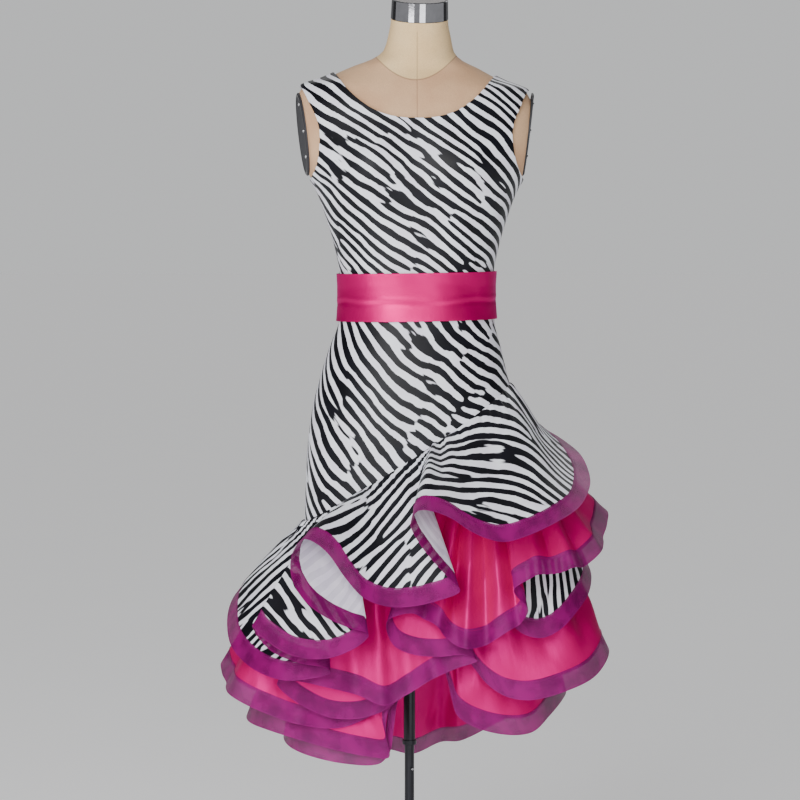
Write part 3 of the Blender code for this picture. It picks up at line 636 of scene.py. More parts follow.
# Each flounce's seam is a slanting line round the skirt: its height over the pole, and
# how much it rises for each millimetre to the viewer's right. back_radius and back_up
# are the middle of its back hem, which has that many even waves.
TIERS = (
    Tier("zebra_flounce", 799, 0.655, 232, 668, 7, 17),
    Tier("satin_flounce_1", 760, 0.67, 254, 545, 7, 17),
    Tier("satin_flounce_2", 690, 0.450, 240, 425, 6, 16),
    Tier("satin_flounce_3", 590, 0.300, 205, 290, 6, 14),
)
TAIL_SEAM_HEIGHT = 738
TAIL_SEAM_SLOPE = 0.560
FLOUNCE_RISE = 7.0
BRAID_WIDTH = 25.0
BRAID_SEWN = 3.0
BRAID_WALL = 0.45
BRAID_PROUD = 0.25
BRAID_CUT = 0.028
LINE_STEP = 5.0
CLOTH_ROWS = 40
BRAID_ROWS = 6
UNDERSKIRT_HEM = 572
UNDERSKIRT_SLOPE = 0.300


@lru_cache(maxsize=None)
def seam_height(angle, height, slope):
    aside = between(SKIRT_SECTIONS, height).aside
    x = figure_point(SKIRT_SECTIONS, angle, height).x - aside
    return height + slope * x


def back_rows(front, tier):
    """The back of a hem, in even waves between the two ends of the front."""
    first, last = front[0], front[-1]
    turn = [math.degrees(math.atan2(row.across, -row.toward)) % 360 for row in (last, first)]
    reach = [math.hypot(row.across, row.toward) for row in (last, first)]
    rows = []
    steps = 2 * tier.waves
    for k in range(1, steps):
        share = k / steps
        middle = math.sin(math.pi * share)
        sway = tier.wave_depth * (1 if k % 2 else -1)
        angle = last.seam_angle + (first.seam_angle + 360 - last.seam_angle) * share
        way = math.radians(turn[0] + (turn[1] - turn[0]) * share)
        out = reach[0] + (reach[1] - reach[0]) * share
        out += (tier.back_radius - (reach[0] + reach[1]) / 2) * middle + sway
        up = last.up + (first.up - last.up) * share
        up += (tier.back_up - (last.up + first.up) / 2) * middle + 0.2 * sway
        rows.append(Fold(angle, out * math.sin(way), -out * math.cos(way), up))
    return rows


def spread(low, high, steps):
    return [low + (high - low) * i / steps for i in range(steps + 1)]


def eased(value):
    """0 below 0, 1 above 1, and a soft rise between."""
    t = np.clip(value, 0, 1)
    return t * t * (3 - 2 * t)


# ---------------------------------------------------------------- cloth made as grids
def steps_along(points, axis):
    """Distance from the first row or column to each of the others, along the cloth."""
    moved = np.linalg.norm(np.diff(points, axis=axis), axis=2)
    start = np.zeros_like(np.take(points, [0], axis=axis)[:, :, 0])
    return np.concatenate([start, np.cumsum(moved, axis=axis)], axis=axis)


def face_way(points):
    """Unit directions out of a grid whose rows run to the viewer's right and then up."""
    way = np.cross(np.gradient(points, axis=1), np.gradient(points, axis=0))
    return way / np.maximum(np.linalg.norm(way, axis=2, keepdims=True), 1e-9)


def cloth_wall(name, inner, outer, maps, finishes):
    """A thin closed wall of cloth between two grids, its reverse in the second finish.

    maps gives a flat place in metres to every point of the grid, for each named map.
    """
    inner, outer = np.asarray(inner), np.asarray(outer)
    rows, columns = inner.shape[:2]
    points = np.concatenate([inner.reshape(-1, 3), outer.reshape(-1, 3)]) * MM
    back = np.arange(rows * columns).reshape(rows, columns)
    face = back + rows * columns

    def strips(*corners):
        return np.stack([corner.ravel() for corner in corners], 1)

    outside = strips(face[:-1, :-1], face[:-1, 1:], face[1:, 1:], face[1:, :-1])
    inside = strips(back[:-1, :-1], back[1:, :-1], back[1:, 1:], back[:-1, 1:])
    rims = (
        strips(back[0, :-1], back[0, 1:], face[0, 1:], face[0, :-1]),
        strips(face[-1, :-1], face[-1, 1:], back[-1, 1:], back[-1, :-1]),
        strips(face[:-1, 0], face[1:, 0], back[1:, 0], back[:-1, 0]),
        strips(back[:-1, -1], back[1:, -1], face[1:, -1], face[:-1, -1]),
    )
    faces = np.concatenate([outside, *rims, inside])
    mesh = bpy.data.meshes.new(name)
    mesh.from_pydata(points.tolist(), [], faces.tolist())
    for finish in finishes:
        mesh.materials.append(finish)
    if len(finishes) > 1:
        index = np.zeros(len(faces), np.int32)
        index[-len(inside):] = 1
        mesh.polygons.foreach_set("material_index", index)
    corners = np.zeros(len(mesh.loops), np.int32)
    mesh.loops.foreach_get("vertex_index", corners)
    for title, flat in maps.items():
        layer = mesh.uv_layers.new(name=title)
        both = np.concatenate([flat.reshape(-1, 2)] * 2)
        layer.data.foreach_set("uv", both[corners].astype(np.float32).ravel())
    obj = bpy.data.objects.new(name, mesh)
    bpy.context.scene.collection.objects.link(obj)
    smooth(obj, 50)
    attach(obj, "figure")
    return obj


def smooth(obj, degrees):
    mesh = obj.data
    mesh.shade_smooth()
    mesh.set_sharp_from_angle(angle=math.radians(degrees))


def cloth_area(points):
    """Area of a grid of cloth in square metres."""
    across = points[:-1, 1:] - points[:-1, :-1]
    up = points[1:, :-1] - points[:-1, :-1]
    return float(np.linalg.norm(np.cross(across, up), axis=2).sum()) * MM * MM


def flat_size(points):
    """Width and length in metres of the rectangle a panel is cut from.

    They are the furthest that a row runs level, and a column upright, along the cloth.
    """
    level = np.cross((0.0, 0.0, 1.0), face_way(points))
    level /= np.maximum(np.linalg.norm(level, axis=2, keepdims=True), 1e-9)
    across, up = np.diff(points, axis=1), np.diff(points, axis=0)
    rows = np.abs((across * level[:, 1:]).sum(axis=2)).sum(axis=1)
    aside = (up * level[1:]).sum(axis=2)
    columns = np.sqrt(np.maximum((up**2).sum(axis=2) - aside**2, 0.0)).sum(axis=0)
    return round(float(rows.max()) * MM, 3), round(float(columns.max()) * MM, 3)


def cut_piece(node, grid, flat=None):
    """Hides the model's own mesh of the piece that this cloth stands in for. It also works out the flat cut
    and an area kept within that cut, which nothing uses.
    """
    flat = flat or flat_size(grid)
    whole = flat[0] * flat[1]
    area = round(min(max(cloth_area(grid), 0.32 * whole), 0.99 * whole), 5)
    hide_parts(node)


def flat_of(points):
    """A flat map in metres: lengths along the rows and up the columns from the middle column."""
    middle = points.shape[1] // 2
    along = steps_along(points, 1)
    along = along - along[:, [middle]]
    up = np.repeat(steps_along(points, 0)[:, [middle]], points.shape[1], axis=1)
    return np.stack([along, up], 2) * MM


# ---------------------------------------------------------------- bodice
def neckline(x, drop):
    return NECK_SIDE - drop * (1 - min(abs(x) / NECK_HALF_WIDTH, 1.0) ** NECK_CURVE)


def armhole(share, depth):
    """Angle and height on the armhole's edge, from the underarm (0) to the shoulder tip (1)."""
    turn = math.pi * (share - 0.5)
    low, high = ARMHOLE_MIDDLE - ARMHOLE_HALF_HEIGHT, SHOULDER_TIP
    middle, half = (low + high) / 2, (high - low) / 2
    return SIDE - depth * max(math.cos(turn), 0.0) ** 0.85, middle + half * math.sin(turn)


def reach(angle, height):
    """How far to the side of its middle the figure stands at an angle and a height."""
    row = between(FORM_SECTIONS, height)
    return row.half_width * signed_power(math.sin(math.radians(angle)), 2 / row.round_by)


def bodice_grid(neck_drop, arm_depth, columns=96, lower_rows=40, upper_rows=50):
    """Angles and heights over a bodice panel: level rows to the underarm, then up to the straps."""
    strap = 0.15
    side_edge = SIDE - 0.15
    underarm = ARMHOLE_MIDDLE - ARMHOLE_HALF_HEIGHT
    across = spread(-1, 1, columns)

    def top(share):
        inner = 1 - 2 * strap
        if abs(share) < inner:
            x = NECK_HALF_WIDTH * share / inner
            return x, neckline(x, neck_drop)
        height = NECK_SIDE + (SHOULDER_TIP - NECK_SIDE) * (abs(share) - inner) / (1 - inner)
        return math.copysign(reach(side_edge, height), share), height

    grid = [
        [(side_edge * share, height) for share in across]
        for height in spread(WAIST_SEAM + SEAM_GAP / 2, underarm, lower_rows)
    ]
    low, high = reach(side_edge, underarm), reach(side_edge, SHOULDER_TIP)
    for t in spread(0, 1, upper_rows)[1:]:
        angle, height = armhole(t, arm_depth)
        off_x = reach(min(angle, side_edge), height) - low - (high - low) * t
        off_height = height - underarm - (SHOULDER_TIP - underarm) * t
        line = []
        for share in across:
            x, height = top(share)
            x = reach(side_edge * share, underarm) * (1 - t) + x * t + off_x * share
            height = underarm + (height - underarm) * t + off_height * abs(share) ** 1.5
            angle = angle_of(FORM_SECTIONS, x, height)
            line.append((max(min(angle, side_edge), -side_edge), height))
        grid.append(line)
    return grid


@lru_cache(maxsize=None)
def round_lengths():
    """Lengths round the figure from its centre line, and up it, for a table of places."""
    heights, angles = spread(1035, 1390, 36), spread(0, 90, 30)
    points = np.array(
        [[figure_point(FORM_SECTIONS, angle, height) for angle in angles] for height in heights]
    )
    up = steps_along(points, 0)[:, 14]
    return np.array(heights), np.array(angles), steps_along(points, 1), up


def bodice_map(grid):
    """A flat map of the bodice in metres, level across and upright along its length."""
    heights, angles, lengths, up = round_lengths()
    flat = np.zeros((len(grid), len(grid[0]), 2))
    for r, line in enumerate(grid):
        for k, (angle, height) in enumerate(line):
            place = np.interp(height, heights, np.arange(len(heights)))
            low = min(int(place), len(heights) - 2)
            row = lengths[low] + (lengths[low + 1] - lengths[low]) * (place - low)
            aside = math.copysign(np.interp(abs(angle), angles, row), angle)
            flat[r, k] = aside, np.interp(height, heights, up)
    return flat * MM


def bodice_panel(node, centre, neck_drop, arm_depth):
    grid = bodice_grid(neck_drop, arm_depth)
    inner = np.array(
        [
            [off_figure(FORM_SECTIONS, centre + angle, height, EASE) for angle, height in line]
            for line in grid
        ]
    )
    outer = inner + face_way(inner) * CLOTH
    maps = {"cut": bodice_map(grid)}
    obj = cloth_wall(f"{node}_cloth", inner, outer, maps, [zebra_bodice, jersey_reverse])
    cut_piece(node, inner)


# ---------------------------------------------------------------- skirt and sash
def hip_seam(angle):
    """Height of the slanting seam that carries the zebra flounce."""
    return seam_height(angle, HIP_SEAM_MIDDLE, HIP_SEAM_SLOPE)


def hip_panel(centre, rows, columns, low, high):
    """Points over half the hips between two slanting lines, each a height for an angle."""
    edge = SIDE - 0.1
    grid = []
    for t in spread(0, 1, rows):
        line = []
        for angle in spread(centre - edge, centre + edge, columns):
            bottom, top = low(angle), high(angle)
            line.append(off_figure(SKIRT_SECTIONS, angle, bottom + (top - bottom) * t, EASE))
        grid.append(line)
    inner = np.array(grid)
    return inner, inner + face_way(inner) * CLOTH


def skirt_panel(node, centre):
    inner, outer = hip_panel(centre, 70, 90, hip_seam, lambda angle: WAIST_SEAM - SEAM_GAP / 2)
    maps = {"cut": flat_of(inner)}
    obj = cloth_wall(f"{node}_cloth", inner, outer, maps, [zebra_skirt, jersey_reverse])
    cut_piece(node, inner)


def underskirt_hem(angle):
    return seam_height(angle, UNDERSKIRT_HEM, UNDERSKIRT_SLOPE)


def underskirt(node, centre):
    inner, outer = hip_panel(centre, 40, 72, underskirt_hem, lambda angle: hip_seam(angle) - SEAM_GAP)
    obj = cloth_wall(f"{node}_satin", inner, outer, {"edge": flat_of(inner)}, [pink_satin])
    cut_piece(node, inner)


def sash_crease(share, t):
    """How far the sash stands out where it creases along its length and pulls aslant."""
    drift = 0.03 * math.sin(2 * math.pi * (3 * share + 0.2)) + 0.02 * math.sin(2 * math.pi * 7 * share)
    fade = math.sin(math.pi * t) ** 0.5
    # The two ends lie flat where they lap.
    fade *= float(eased((min(share, 1 - share) - 0.04) / 0.06))
    lift = -0.55 * math.exp(-(((t - 0.36 - drift) / 0.05) ** 2))
    lift += 0.35 * math.exp(-(((t - 0.45 - drift) / 0.06) ** 2))
    lift -= 0.2 * math.exp(-(((t - 0.74 + drift) / 0.08) ** 2))
    sway = 0.3 * math.sin(9 * share)
    for k, (turns, slant, size) in enumerate(((6, 0.55, 0.35), (11, -0.8, 0.16), (19, 1.1, 0.07))):
        lift += size * math.sin(2 * math.pi * (turns * share + slant * t + 0.37 * k + sway))
    return 0.7 + lift * fade


def sash():
    """A satin band round the waist. Its outer end laps over the inner one at the back."""
    steps, rows = 300, 30
    start, end = 180 - SASH_OVERLAP / 2, 540 + SASH_OVERLAP / 2
    sides = []
    for out in (0.0, SASH_WALL):
        grid = []
        for t in spread(0, 1, rows):
            line = []
            for share in spread(0, 1, steps):
                angle = start + (end - start) * share
                lap = float(eased((share - 0.88) / 0.07)) * (SASH_WALL + SEAM_GAP + 0.4)
                lap += sash_crease(share, t)
                height = SASH_BOTTOM + (SASH_TOP - SASH_BOTTOM) * t
                ease = EASE + CLOTH + SASH_EASE
                point = off_figure(SKIRT_SECTIONS, angle, height, ease + lap + out)
                point.z += point.x * math.tan(math.radians(SASH_RISE))
                line.append(point)
            grid.append(line)
        sides.append(np.array(grid))
    obj = cloth_wall("sash_band", *sides, {"edge": flat_of(sides[0])}, [sash_satin])
    cut_piece("sash", sides[0])


# ---------------------------------------------------------------- flounces
class Flounce:
    """A gathered strip from a seam on the skirt to a hem that follows its fold rows."""

    def __init__(self, rows, height, slope, closed):
        self.rows = list(rows)
        self.closed = closed
        if closed:
            self.rows.append(rows[0]._replace(seam_angle=rows[0].seam_angle + 360))
        self.height, self.slope = height, slope
        self.at = [0.0]
        for a, b in zip(self.rows, self.rows[1:]):
            self.at.append(self.at[-1] + math.dist(a[1:], b[1:]))

    def tangent(self, k):
        last = len(self.rows) - 1
        if self.closed and k in (0, last):
            a, b = self.rows[last - 1], self.rows[1]
            span = self.at[last] - self.at[last - 1] + self.at[1]
        else:
            low, high = max(k - 1, 0), min(k + 1, last)
            a, b = self.rows[low], self.rows[high]
            span = self.at[high] - self.at[low]
        return [(q - p) / span for p, q in zip(a[1:], b[1:])]

    def hem(self, k, t):
        """(seam angle, hem point) a share t of the way from fold row k to the next."""
        span = self.at[k + 1] - self.at[k]
        a, b = self.rows[k], self.rows[k + 1]
        ma, mb = self.tangent(k), self.tangent(k + 1)
        point = [
            p * (1 + 2 * t) * (1 - t) ** 2
            + m * span * t * (1 - t) ** 2
            + q * t * t * (3 - 2 * t)
            + n * span * t * t * (t - 1)
            for p, q, m, n in zip(a[1:], b[1:], ma, mb)
        ]
        angle = a.seam_angle + (b.seam_angle - a.seam_angle) * t
        return angle, point

    def lines(self, start, end, step):
        """Seam ends, hem ends and row numbers of closely set lines between two fold rows."""
        seams, hems, numbers = [], [], []
        for k in range(start, end):
            count = max(2, round((self.at[k + 1] - self.at[k]) / step))
            shares = [i / count for i in range(count)] + ([1.0] if k == end - 1 else [])
            for t in shares:
                angle, hem = self.hem(k, t)
                level = seam_height(angle, self.height, self.slope)
                seams.append(off_figure(SKIRT_SECTIONS, angle, level, EASE + CLOTH + SEAM_GAP))
                hems.append(hem)
                numbers.append(k + t)
        return np.array(seams), np.array(hems), np.array(numbers)


def flounce_grid(seams, hems, levels):
    """Points of a flounce at each level, from the seam (0) to the hem (1)."""
    levels = np.asarray(levels)[:, :, None]
    grid = seams[None] * (1 - levels) + hems[None] * levels
    grid[:, :, 2] += FLOUNCE_RISE * np.sin(math.pi * levels[:, :, 0])
    return grid


def creased(numbers, levels, creases):
    """How far the cloth stands in or out where its soft creases run."""
    lift = np.zeros(levels.shape)
    for crease in creases:
        drift = crease.row + crease.lean * (1 - levels)
        across = (numbers[None] - drift) / crease.width
        along = eased((levels - crease.start) / 0.2) * eased((crease.end - levels) / 0.2)
        lift += crease.out * np.exp(-across * across) * along
    return lift * eased(levels / 0.03)


def gathers(lengths, levels, seed):
    """Small uneven tucks under the seam, which fade out down the cloth."""
    along = lengths[None]
    wave = np.zeros(levels.shape)
    for k, (wide, size) in enumerate(((31.0, 1.0), (19.0, 0.8), (12.5, 0.5))):
        turn = 2 * math.pi * along / wide + 1.7 * k + seed
        wave += size * np.sin(turn + 1.3 * np.sin(along / 47.0 + seed * 2.1 + k))
    fade = np.exp(-levels / 0.16) * eased(levels / 0.03)
    return wave * fade


Crease = namedtuple("Crease", "row width out start end lean")


def flounce_pieces(name, flounce, spans, looks):
    """The cloth and the hem braid of a flounce, for each named span of its rows."""
    for side, start, end in spans:
        seams, hems, numbers = flounce.lines(start, end, LINE_STEP)
        depth = np.linalg.norm(hems - seams, axis=1)
        edge = 1 - BRAID_WIDTH / depth
        lengths = np.concatenate([[0], np.cumsum(np.linalg.norm(np.diff(hems, axis=0), axis=1))])
        shares = np.linspace(1, 0, CLOTH_ROWS + 1)
        levels = shares[:, None] * edge[None]
        inner = flounce_grid(seams, hems, levels)
        lift = gathers(lengths, levels, looks["seed"])
        lift += creased(numbers - start, levels, looks["creases"].get(side, ()))
        lift -= np.interp(numbers, *looks["sag"])[None] * np.sin(math.pi * levels**1.5)
        inner = inner + face_way(inner) * lift[:, :, None]
        outer = inner + face_way(inner) * THIN_CLOTH
        # The flat cut is part of a ring, which the hem's and the seam's lengths set.
        seam_length = np.linalg.norm(np.diff(seams, axis=0), axis=1).sum()
        hem_length = lengths[-1]
        mean_depth = float(depth.mean())
        ring = seam_length * mean_depth / max(hem_length - seam_length, 1)
        swing = (lengths / hem_length * (hem_length / (ring + mean_depth)))[None]
        away = ring + levels * depth[None]
        cut = np.stack([away * np.cos(swing), away * np.sin(swing)], 2) * MM
        along = np.repeat(lengths[None], CLOTH_ROWS + 1, 0)
        hem_map = np.stack([along, (edge[None] - levels) * depth[None]], 2) * MM
        maps = {"cut": cut, "edge": hem_map}
        cloth = cloth_wall(f"{name}{side}_cloth", inner, outer, maps, looks["finishes"])
        long = round(hem_length * MM, 3)
        deep = round((mean_depth - BRAID_WIDTH) * MM, 3)
        cut_piece(f"{name}{side}", inner, (long, deep))

        shares = np.linspace(1, 0, BRAID_ROWS + 1)
        sewn = BRAID_SEWN / depth
        levels = (edge - sewn)[None] + shares[:, None] * (1 - edge + sewn)[None]
        inner = flounce_grid(seams, hems, levels)
        lift = creased(numbers - start, levels, looks["creases"].get(side, ()))
        lift -= np.interp(numbers, *looks["sag"])[None] * np.sin(math.pi * levels**1.5)
        lapped = eased((edge[None] + 2.0 / depth[None] - levels) * depth[None] / 4.0)
        proud = (THIN_CLOTH + BRAID_PROUD) * lapped
        inner = inner + face_way(inner) * (lift + proud)[:, :, None]
        outer = inner + face_way(inner) * BRAID_WALL
        along = np.repeat(lengths[None], BRAID_ROWS + 1, 0)
        strip = np.stack([along, (1 - levels) * depth[None]], 2) * MM
        braid = cloth_wall(f"{name}{side}_hem_braid", inner, outer, {"edge": strip}, [crinoline_braid])
        flat = long, BRAID_CUT
        cut_piece(f"{name}_braid{side}", inner, flat)


def ring_flounce(tier, front, looks):
    rows = list(front) + back_rows(front, tier)
    flounce = Flounce(rows, tier.seam_height, tier.seam_slope, closed=True)
    middle = len(front) - 1
    spans = (("_front", 0, middle), ("_back", middle, len(rows)))
    flounce_pieces(tier.name, flounce, spans, looks)


# ---------------------------------------------------------------- dress form
def arm_cut(side):
    """The flat where an arm would begin: its lower and upper ends and its outward way."""
    low, high = (Vector((ARM_ASIDE + side * x, 0, z)) for x, z in (ARM_CUT_BOTTOM, ARM_CUT_TOP))
    up = (high - low).normalized()
    out = Vector((side, 0, 0))
    out = (out - up * out.dot(up)).normalized()
    turn = ARM_TURN_RIGHT if side > 0 else -ARM_TURN_LEFT
    return low, high, Matrix.Rotation(math.radians(-turn), 3, up) @ out


def dress_form():
    around, levels = 144, []
    heights = [row.height for row in FORM_SECTIONS]
    for high, low in zip(heights, heights[1:]):
        count = max(1, round((high - low) / 6))
        levels += [high + (low - high) * i / count for i in range(count)]
    levels.append(heights[-1])
    levels.reverse()

    def skin(angle, height):
        under = 3.0 * math.exp(-(((height - 1335) / 50) ** 2))
        under *= math.sin(math.radians(angle)) ** 2
        return off_figure(FORM_SECTIONS, angle, height, -0.6 - under)

    points = [[skin(360 * i / around, height) for i in range(around)] for height in levels]
    form = bmesh.new()
    verts = [[form.verts.new(point) for point in line] for line in points]
    for low, high in zip(verts, verts[1:]):
        for i in range(around):
            j = (i + 1) % around
            form.faces.new((low[i], low[j], high[j], high[i]))
    form.faces.new(list(reversed(verts[0])))
    form.faces.new(verts[-1])
    for side in (1, -1):
        low, high, out = arm_cut(side)
        cut = bmesh.ops.bisect_plane(
            form,
            geom=form.verts[:] + form.edges[:] + form.faces[:],
            plane_co=low,
            plane_no=out,
            clear_outer=True,
        )
        rim = [item for item in cut["geom_cut"] if isinstance(item, bmesh.types.BMEdge)]
        bmesh.ops.holes_fill(form, edges=rim)
    bmesh.ops.scale(form, vec=(MM, MM, MM), verts=form.verts)
    bmesh.ops.recalc_face_normals(form, faces=form.faces)
    mesh = bpy.data.meshes.new("dress_form")
    form.to_mesh(mesh)
    form.free()
    mesh.materials.append(form_linen)
    obj = bpy.data.objects.new("dress_form", mesh)
    bpy.context.scene.collection.objects.link(obj)
    smooth(obj, 40)
    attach(obj, "figure")
    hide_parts("form_torso")


def plate_frame(side):
    """A plate's middle on its outer face, with its own axes: across, up and outward."""
    low, high, out = arm_cut(side)
    up = (high - low).normalized()
    ahead = Vector((0, -1, 0))
    ahead = (ahead - out * ahead.dot(out)).normalized()
    middle = (low + high) / 2 + ahead * 2 - up * 2 + out * (SEAM_GAP + ARM_PLATE_WALL)
    across = up.cross(out)
    axes = Matrix((across, up, out)).transposed().to_4x4()
    return Matrix.Translation(middle) @ axes, 1 if across.dot(ahead) > 0 else -1


def hard_piece(name, place, finish):
    """Finishes the primitive just added: shapes it in mm, names it and fixes it to the form."""
    obj = bpy.context.object
    obj.name = name
    obj.data.name = name
    obj.data.transform(Matrix.Scale(MM, 4) @ place)
    obj.data.materials.append(finish)
    smooth(obj, 40)
    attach(obj, "figure")


def plate_trim(word, side):
    """A chrome band round the arm plate and three screws along its front edge."""
    seat, ahead = plate_frame(side)
    oval = Matrix.Diagonal((40.0, 60.0, 1.0, 1.0))
    bpy.ops.object.select_all(action="DESELECT")
    bpy.ops.mesh.primitive_torus_add(
        major_radius=1, minor_radius=0.034, major_segments=72, minor_segments=12
    )
    hard_piece(f"plate_band_{word}", seat @ Matrix.Translation((0, 0, 0.5)) @ oval, chrome)
    for number, turn in enumerate((62, 5, -42)):
        spot = ahead * 31 * math.cos(math.radians(turn)), 52 * math.sin(math.radians(turn)), 0.7
        bpy.ops.object.select_all(action="DESELECT")
        bpy.ops.mesh.primitive_uv_sphere_add(radius=1, segments=20, ring_count=10)
        flat = Matrix.Diagonal((3.2, 3.2, 1.5, 1.0))
        hard_piece(f"plate_screw_{word}_{number + 1}", seat @ Matrix.Translation(spot) @ flat, bright_screw)


# ---------------------------------------------------------------- the whole
# Soft creases of each flounce. row is the fold row that a crease starts from at the hem,
# width is in rows, out is how far it stands out in mm (less than 0 is a trough), start
# and end are shares of the way down, and lean is how many rows it drifts towards the seam.
ZEBRA_CREASES = (
    Crease(2.2, 0.6, 3.0, 0.10, 0.95, 0.4),
    Crease(4.6, 0.5, -3.5, 0.15, 1.20, 0.2),
    Crease(7.0, 0.6, 3.0, 0.00, 0.90, -0.3),
    Crease(16.0, 0.5, 3.5, 0.05, 0.80, 0.5),
    Crease(17.6, 0.4, -3.0, 0.00, 0.70, 0.3),
    Crease(25.2, 0.5, 2.5, 0.00, 0.60, 0.4),
    Crease(27.3, 0.6, -3.0, 0.05, 0.75, -0.2),
    Crease(29.4, 0.5, 3.0, 0.00, 0.55, 0.5),
    Crease(36.6, 0.45, 4.5, -0.20, 0.80, -0.6),
    Crease(37.7, 0.40, -4.0, -0.20, 0.65, -0.4),
    Crease(38.9, 0.45, 3.0, -0.20, 0.50, -0.3),
    Crease(41.2, 0.7, -3.0, 0.10, 0.90, 0.5),
    Crease(43.5, 0.8, 3.5, 0.05, 1.00, 0.4),
    Crease(45.8, 0.5, -2.5, 0.00, 0.70, 0.0),
)
SATIN_1_CREASES = (
    Crease(1.4, 0.40, 6.4, 0.2, 1.2, 0.5),
    Crease(2.6, 0.35, -6.4, 0.1, 1.2, 0.2),
    Crease(3.7, 0.45, 7.2, 0.3, 1.2, 0.4),
    Crease(5.1, 0.40, -6.4, 0.2, 1.0, -0.3),
    Crease(6.0, 0.35, 8.0, 0.1, 1.2, 0.4),
    Crease(7.2, 0.35, -6.4, 0.3, 1.2, 0.2),
    Crease(16.8, 0.40, 6.4, 0.2, 1.2, -0.4),
    Crease(17.9, 0.35, -7.2, 0.2, 1.2, -0.6),
    Crease(18.9, 0.35, 7.2, 0.1, 1.2, -0.5),
    Crease(20.1, 0.40, -6.4, 0.3, 1.1, -0.3),
    Crease(21.2, 0.35, 7.2, 0.2, 1.2, 0.0),
    Crease(30.7, 0.40, 6.4, 0.1, 1.0, 0.6),
    Crease(31.6, 0.30, -8.0, 0.2, 1.2, 0.5),
    Crease(32.4, 0.35, 9.6, 0.1, 1.2, 0.6),
    Crease(33.2, 0.28, -9.6, 0.2, 1.0, 0.4),
    Crease(34.0, 0.35, 10.4, 0.1, 1.2, 0.3),
    Crease(34.9, 0.30, -8.8, 0.2, 1.2, 0.2),
    Crease(35.7, 0.30, 8.0, 0.2, 1.0, 0.4),
    Crease(36.5, 0.28, -8.0, 0.3, 1.2, 0.2),
    Crease(41.9, 0.35, 7.2, 0.2, 1.2, 0.5),
    Crease(42.7, 0.30, -8.0, 0.2, 1.0, 0.7),
    Crease(43.6, 0.35, 9.6, 0.2, 1.2, 0.4),
    Crease(44.4, 0.28, -8.0, 0.3, 1.2, 0.3),
    Crease(45.3, 0.32, 8.0, 0.2, 1.1, -0.5),
    Crease(46.4, 0.40, -6.4, 0.3, 1.2, -0.4),
    Crease(47.6, 0.40, 6.4, 0.2, 1.2, -0.2),
)
SATIN_2_CREASES = tuple(
    Crease(
        1.0 + 1.17 * k + 0.25 * math.sin(5.1 * k),
        0.40,
        7.0 * math.cos(math.pi * k + 0.6 * math.sin(2.3 * k)),
        0.15 + 0.1 * math.sin(3 * k),
        0.92,
        0.5 * math.sin(1.7 * k),
    )
    for k in range(20)
)
BACK_CREASES = tuple(
    Crease(
        0.7 + 0.93 * k + 0.22 * math.sin(4.3 * k),
        0.26,
        4.0 * math.cos(math.pi * k + 0.7 * math.sin(2.1 * k)),
        0.10 + 0.1 * math.sin(2 * k),
        0.95 + 0.2 * math.sin(k),
        0.3 * math.sin(1.9 * k),
    )
    for k in range(14)
)

# How far a flounce hangs inside a straight line from seam to hem: fold rows, then mm.
ZEBRA_SAG = ((0, 41, 45, 47, 52, 63), (0, 0, 20, 20, 0, 0))
SATIN_1_SAG = ((0, 42, 46, 50, 63), (0, 0, 11, 12, 0))
NO_SAG = ((0, 1), (0, 0))


def looks_of(finishes, slot, seed, creases, sag=NO_SAG):
    creases = {"_front": creases, "_back": BACK_CREASES}
    return {"seed": seed, "creases": creases, "finishes": finishes, "slot": slot, "sag": sag}


ZEBRA_FINISHES = [zebra_flounce, jersey_reverse]
LOOKS = {
    "zebra_flounce": looks_of(ZEBRA_FINISHES, "zebra_jersey", 0.4, ZEBRA_CREASES, ZEBRA_SAG),
    "satin_flounce_1": looks_of([pink_satin], "pink_satin", 1.9, SATIN_1_CREASES, SATIN_1_SAG),
    "satin_flounce_2": looks_of([pink_satin], "pink_satin", 3.1, SATIN_2_CREASES),
    "satin_flounce_3": looks_of([pink_satin], "pink_satin", 5.2, SATIN_2_CREASES),
    "zebra_tail": looks_of(ZEBRA_FINISHES, "zebra_jersey", 0.9, ()),
}

dress_form()
bodice_panel("bodice_front", 0, FRONT_NECK_DROP, FRONT_ARMHOLE_DEPTH)
bodice_panel("bodice_back", 180, BACK_NECK_DROP, BACK_ARMHOLE_DEPTH)
skirt_panel("skirt_front", 0)
skirt_panel("skirt_back", 180)
underskirt("underskirt_front", 0)
underskirt("underskirt_back", 180)
sash()
for tier, front in zip(TIERS, (ZEBRA_FRONT, SATIN_1_FRONT, SATIN_2_FRONT, SATIN_3_FRONT)):
    ring_flounce(tier, front, LOOKS[tier.name])
tail = Flounce(ZEBRA_TAIL, TAIL_SEAM_HEIGHT, TAIL_SEAM_SLOPE, closed=False)
flounce_pieces("zebra_tail", tail, (("", 0, len(ZEBRA_TAIL) - 1),), LOOKS["zebra_tail"])

plate_trim("left", -1)
plate_trim("right", 1)

METAL = {
    "neck_cap": chrome,
    "pole_button": chrome,
    "neck_cap_disc": brown_disc,
    "arm_plate_left": plate_grey,
    "arm_plate_right": plate_grey,
    "form_flange": black_metal,
    "pole_upper_tube": black_metal,
    "pole_collar": black_metal,
    "pole_lower_rod": black_metal,
    "stand_base": black_metal,
}
for node, finish in METAL.items():
    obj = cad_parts[node]
    obj.data.materials.clear()
    obj.data.materials.append(finish)

# ---------------------------------------------------------------- floor, light and camera
WALL_LIGHT = 0.64
SIDE_DIM = ("From Min", 0.40), ("From Max", 0.75), ("To Min", 0.27), ("To Max", 0.07)
SUN_WIDTH = 50
FILM_WIDTH = 36

# In metres: how far the camera stands before the pole and how high, the height and the
# place aside that it looks at, and how wide its view is at the pole.
CAMERA_AWAY = 4.1
CAMERA_UP = 1.15
AIM_UP = 0.88
AIM_ASIDE = -0.0147
VIEW_WIDTH = 1.24


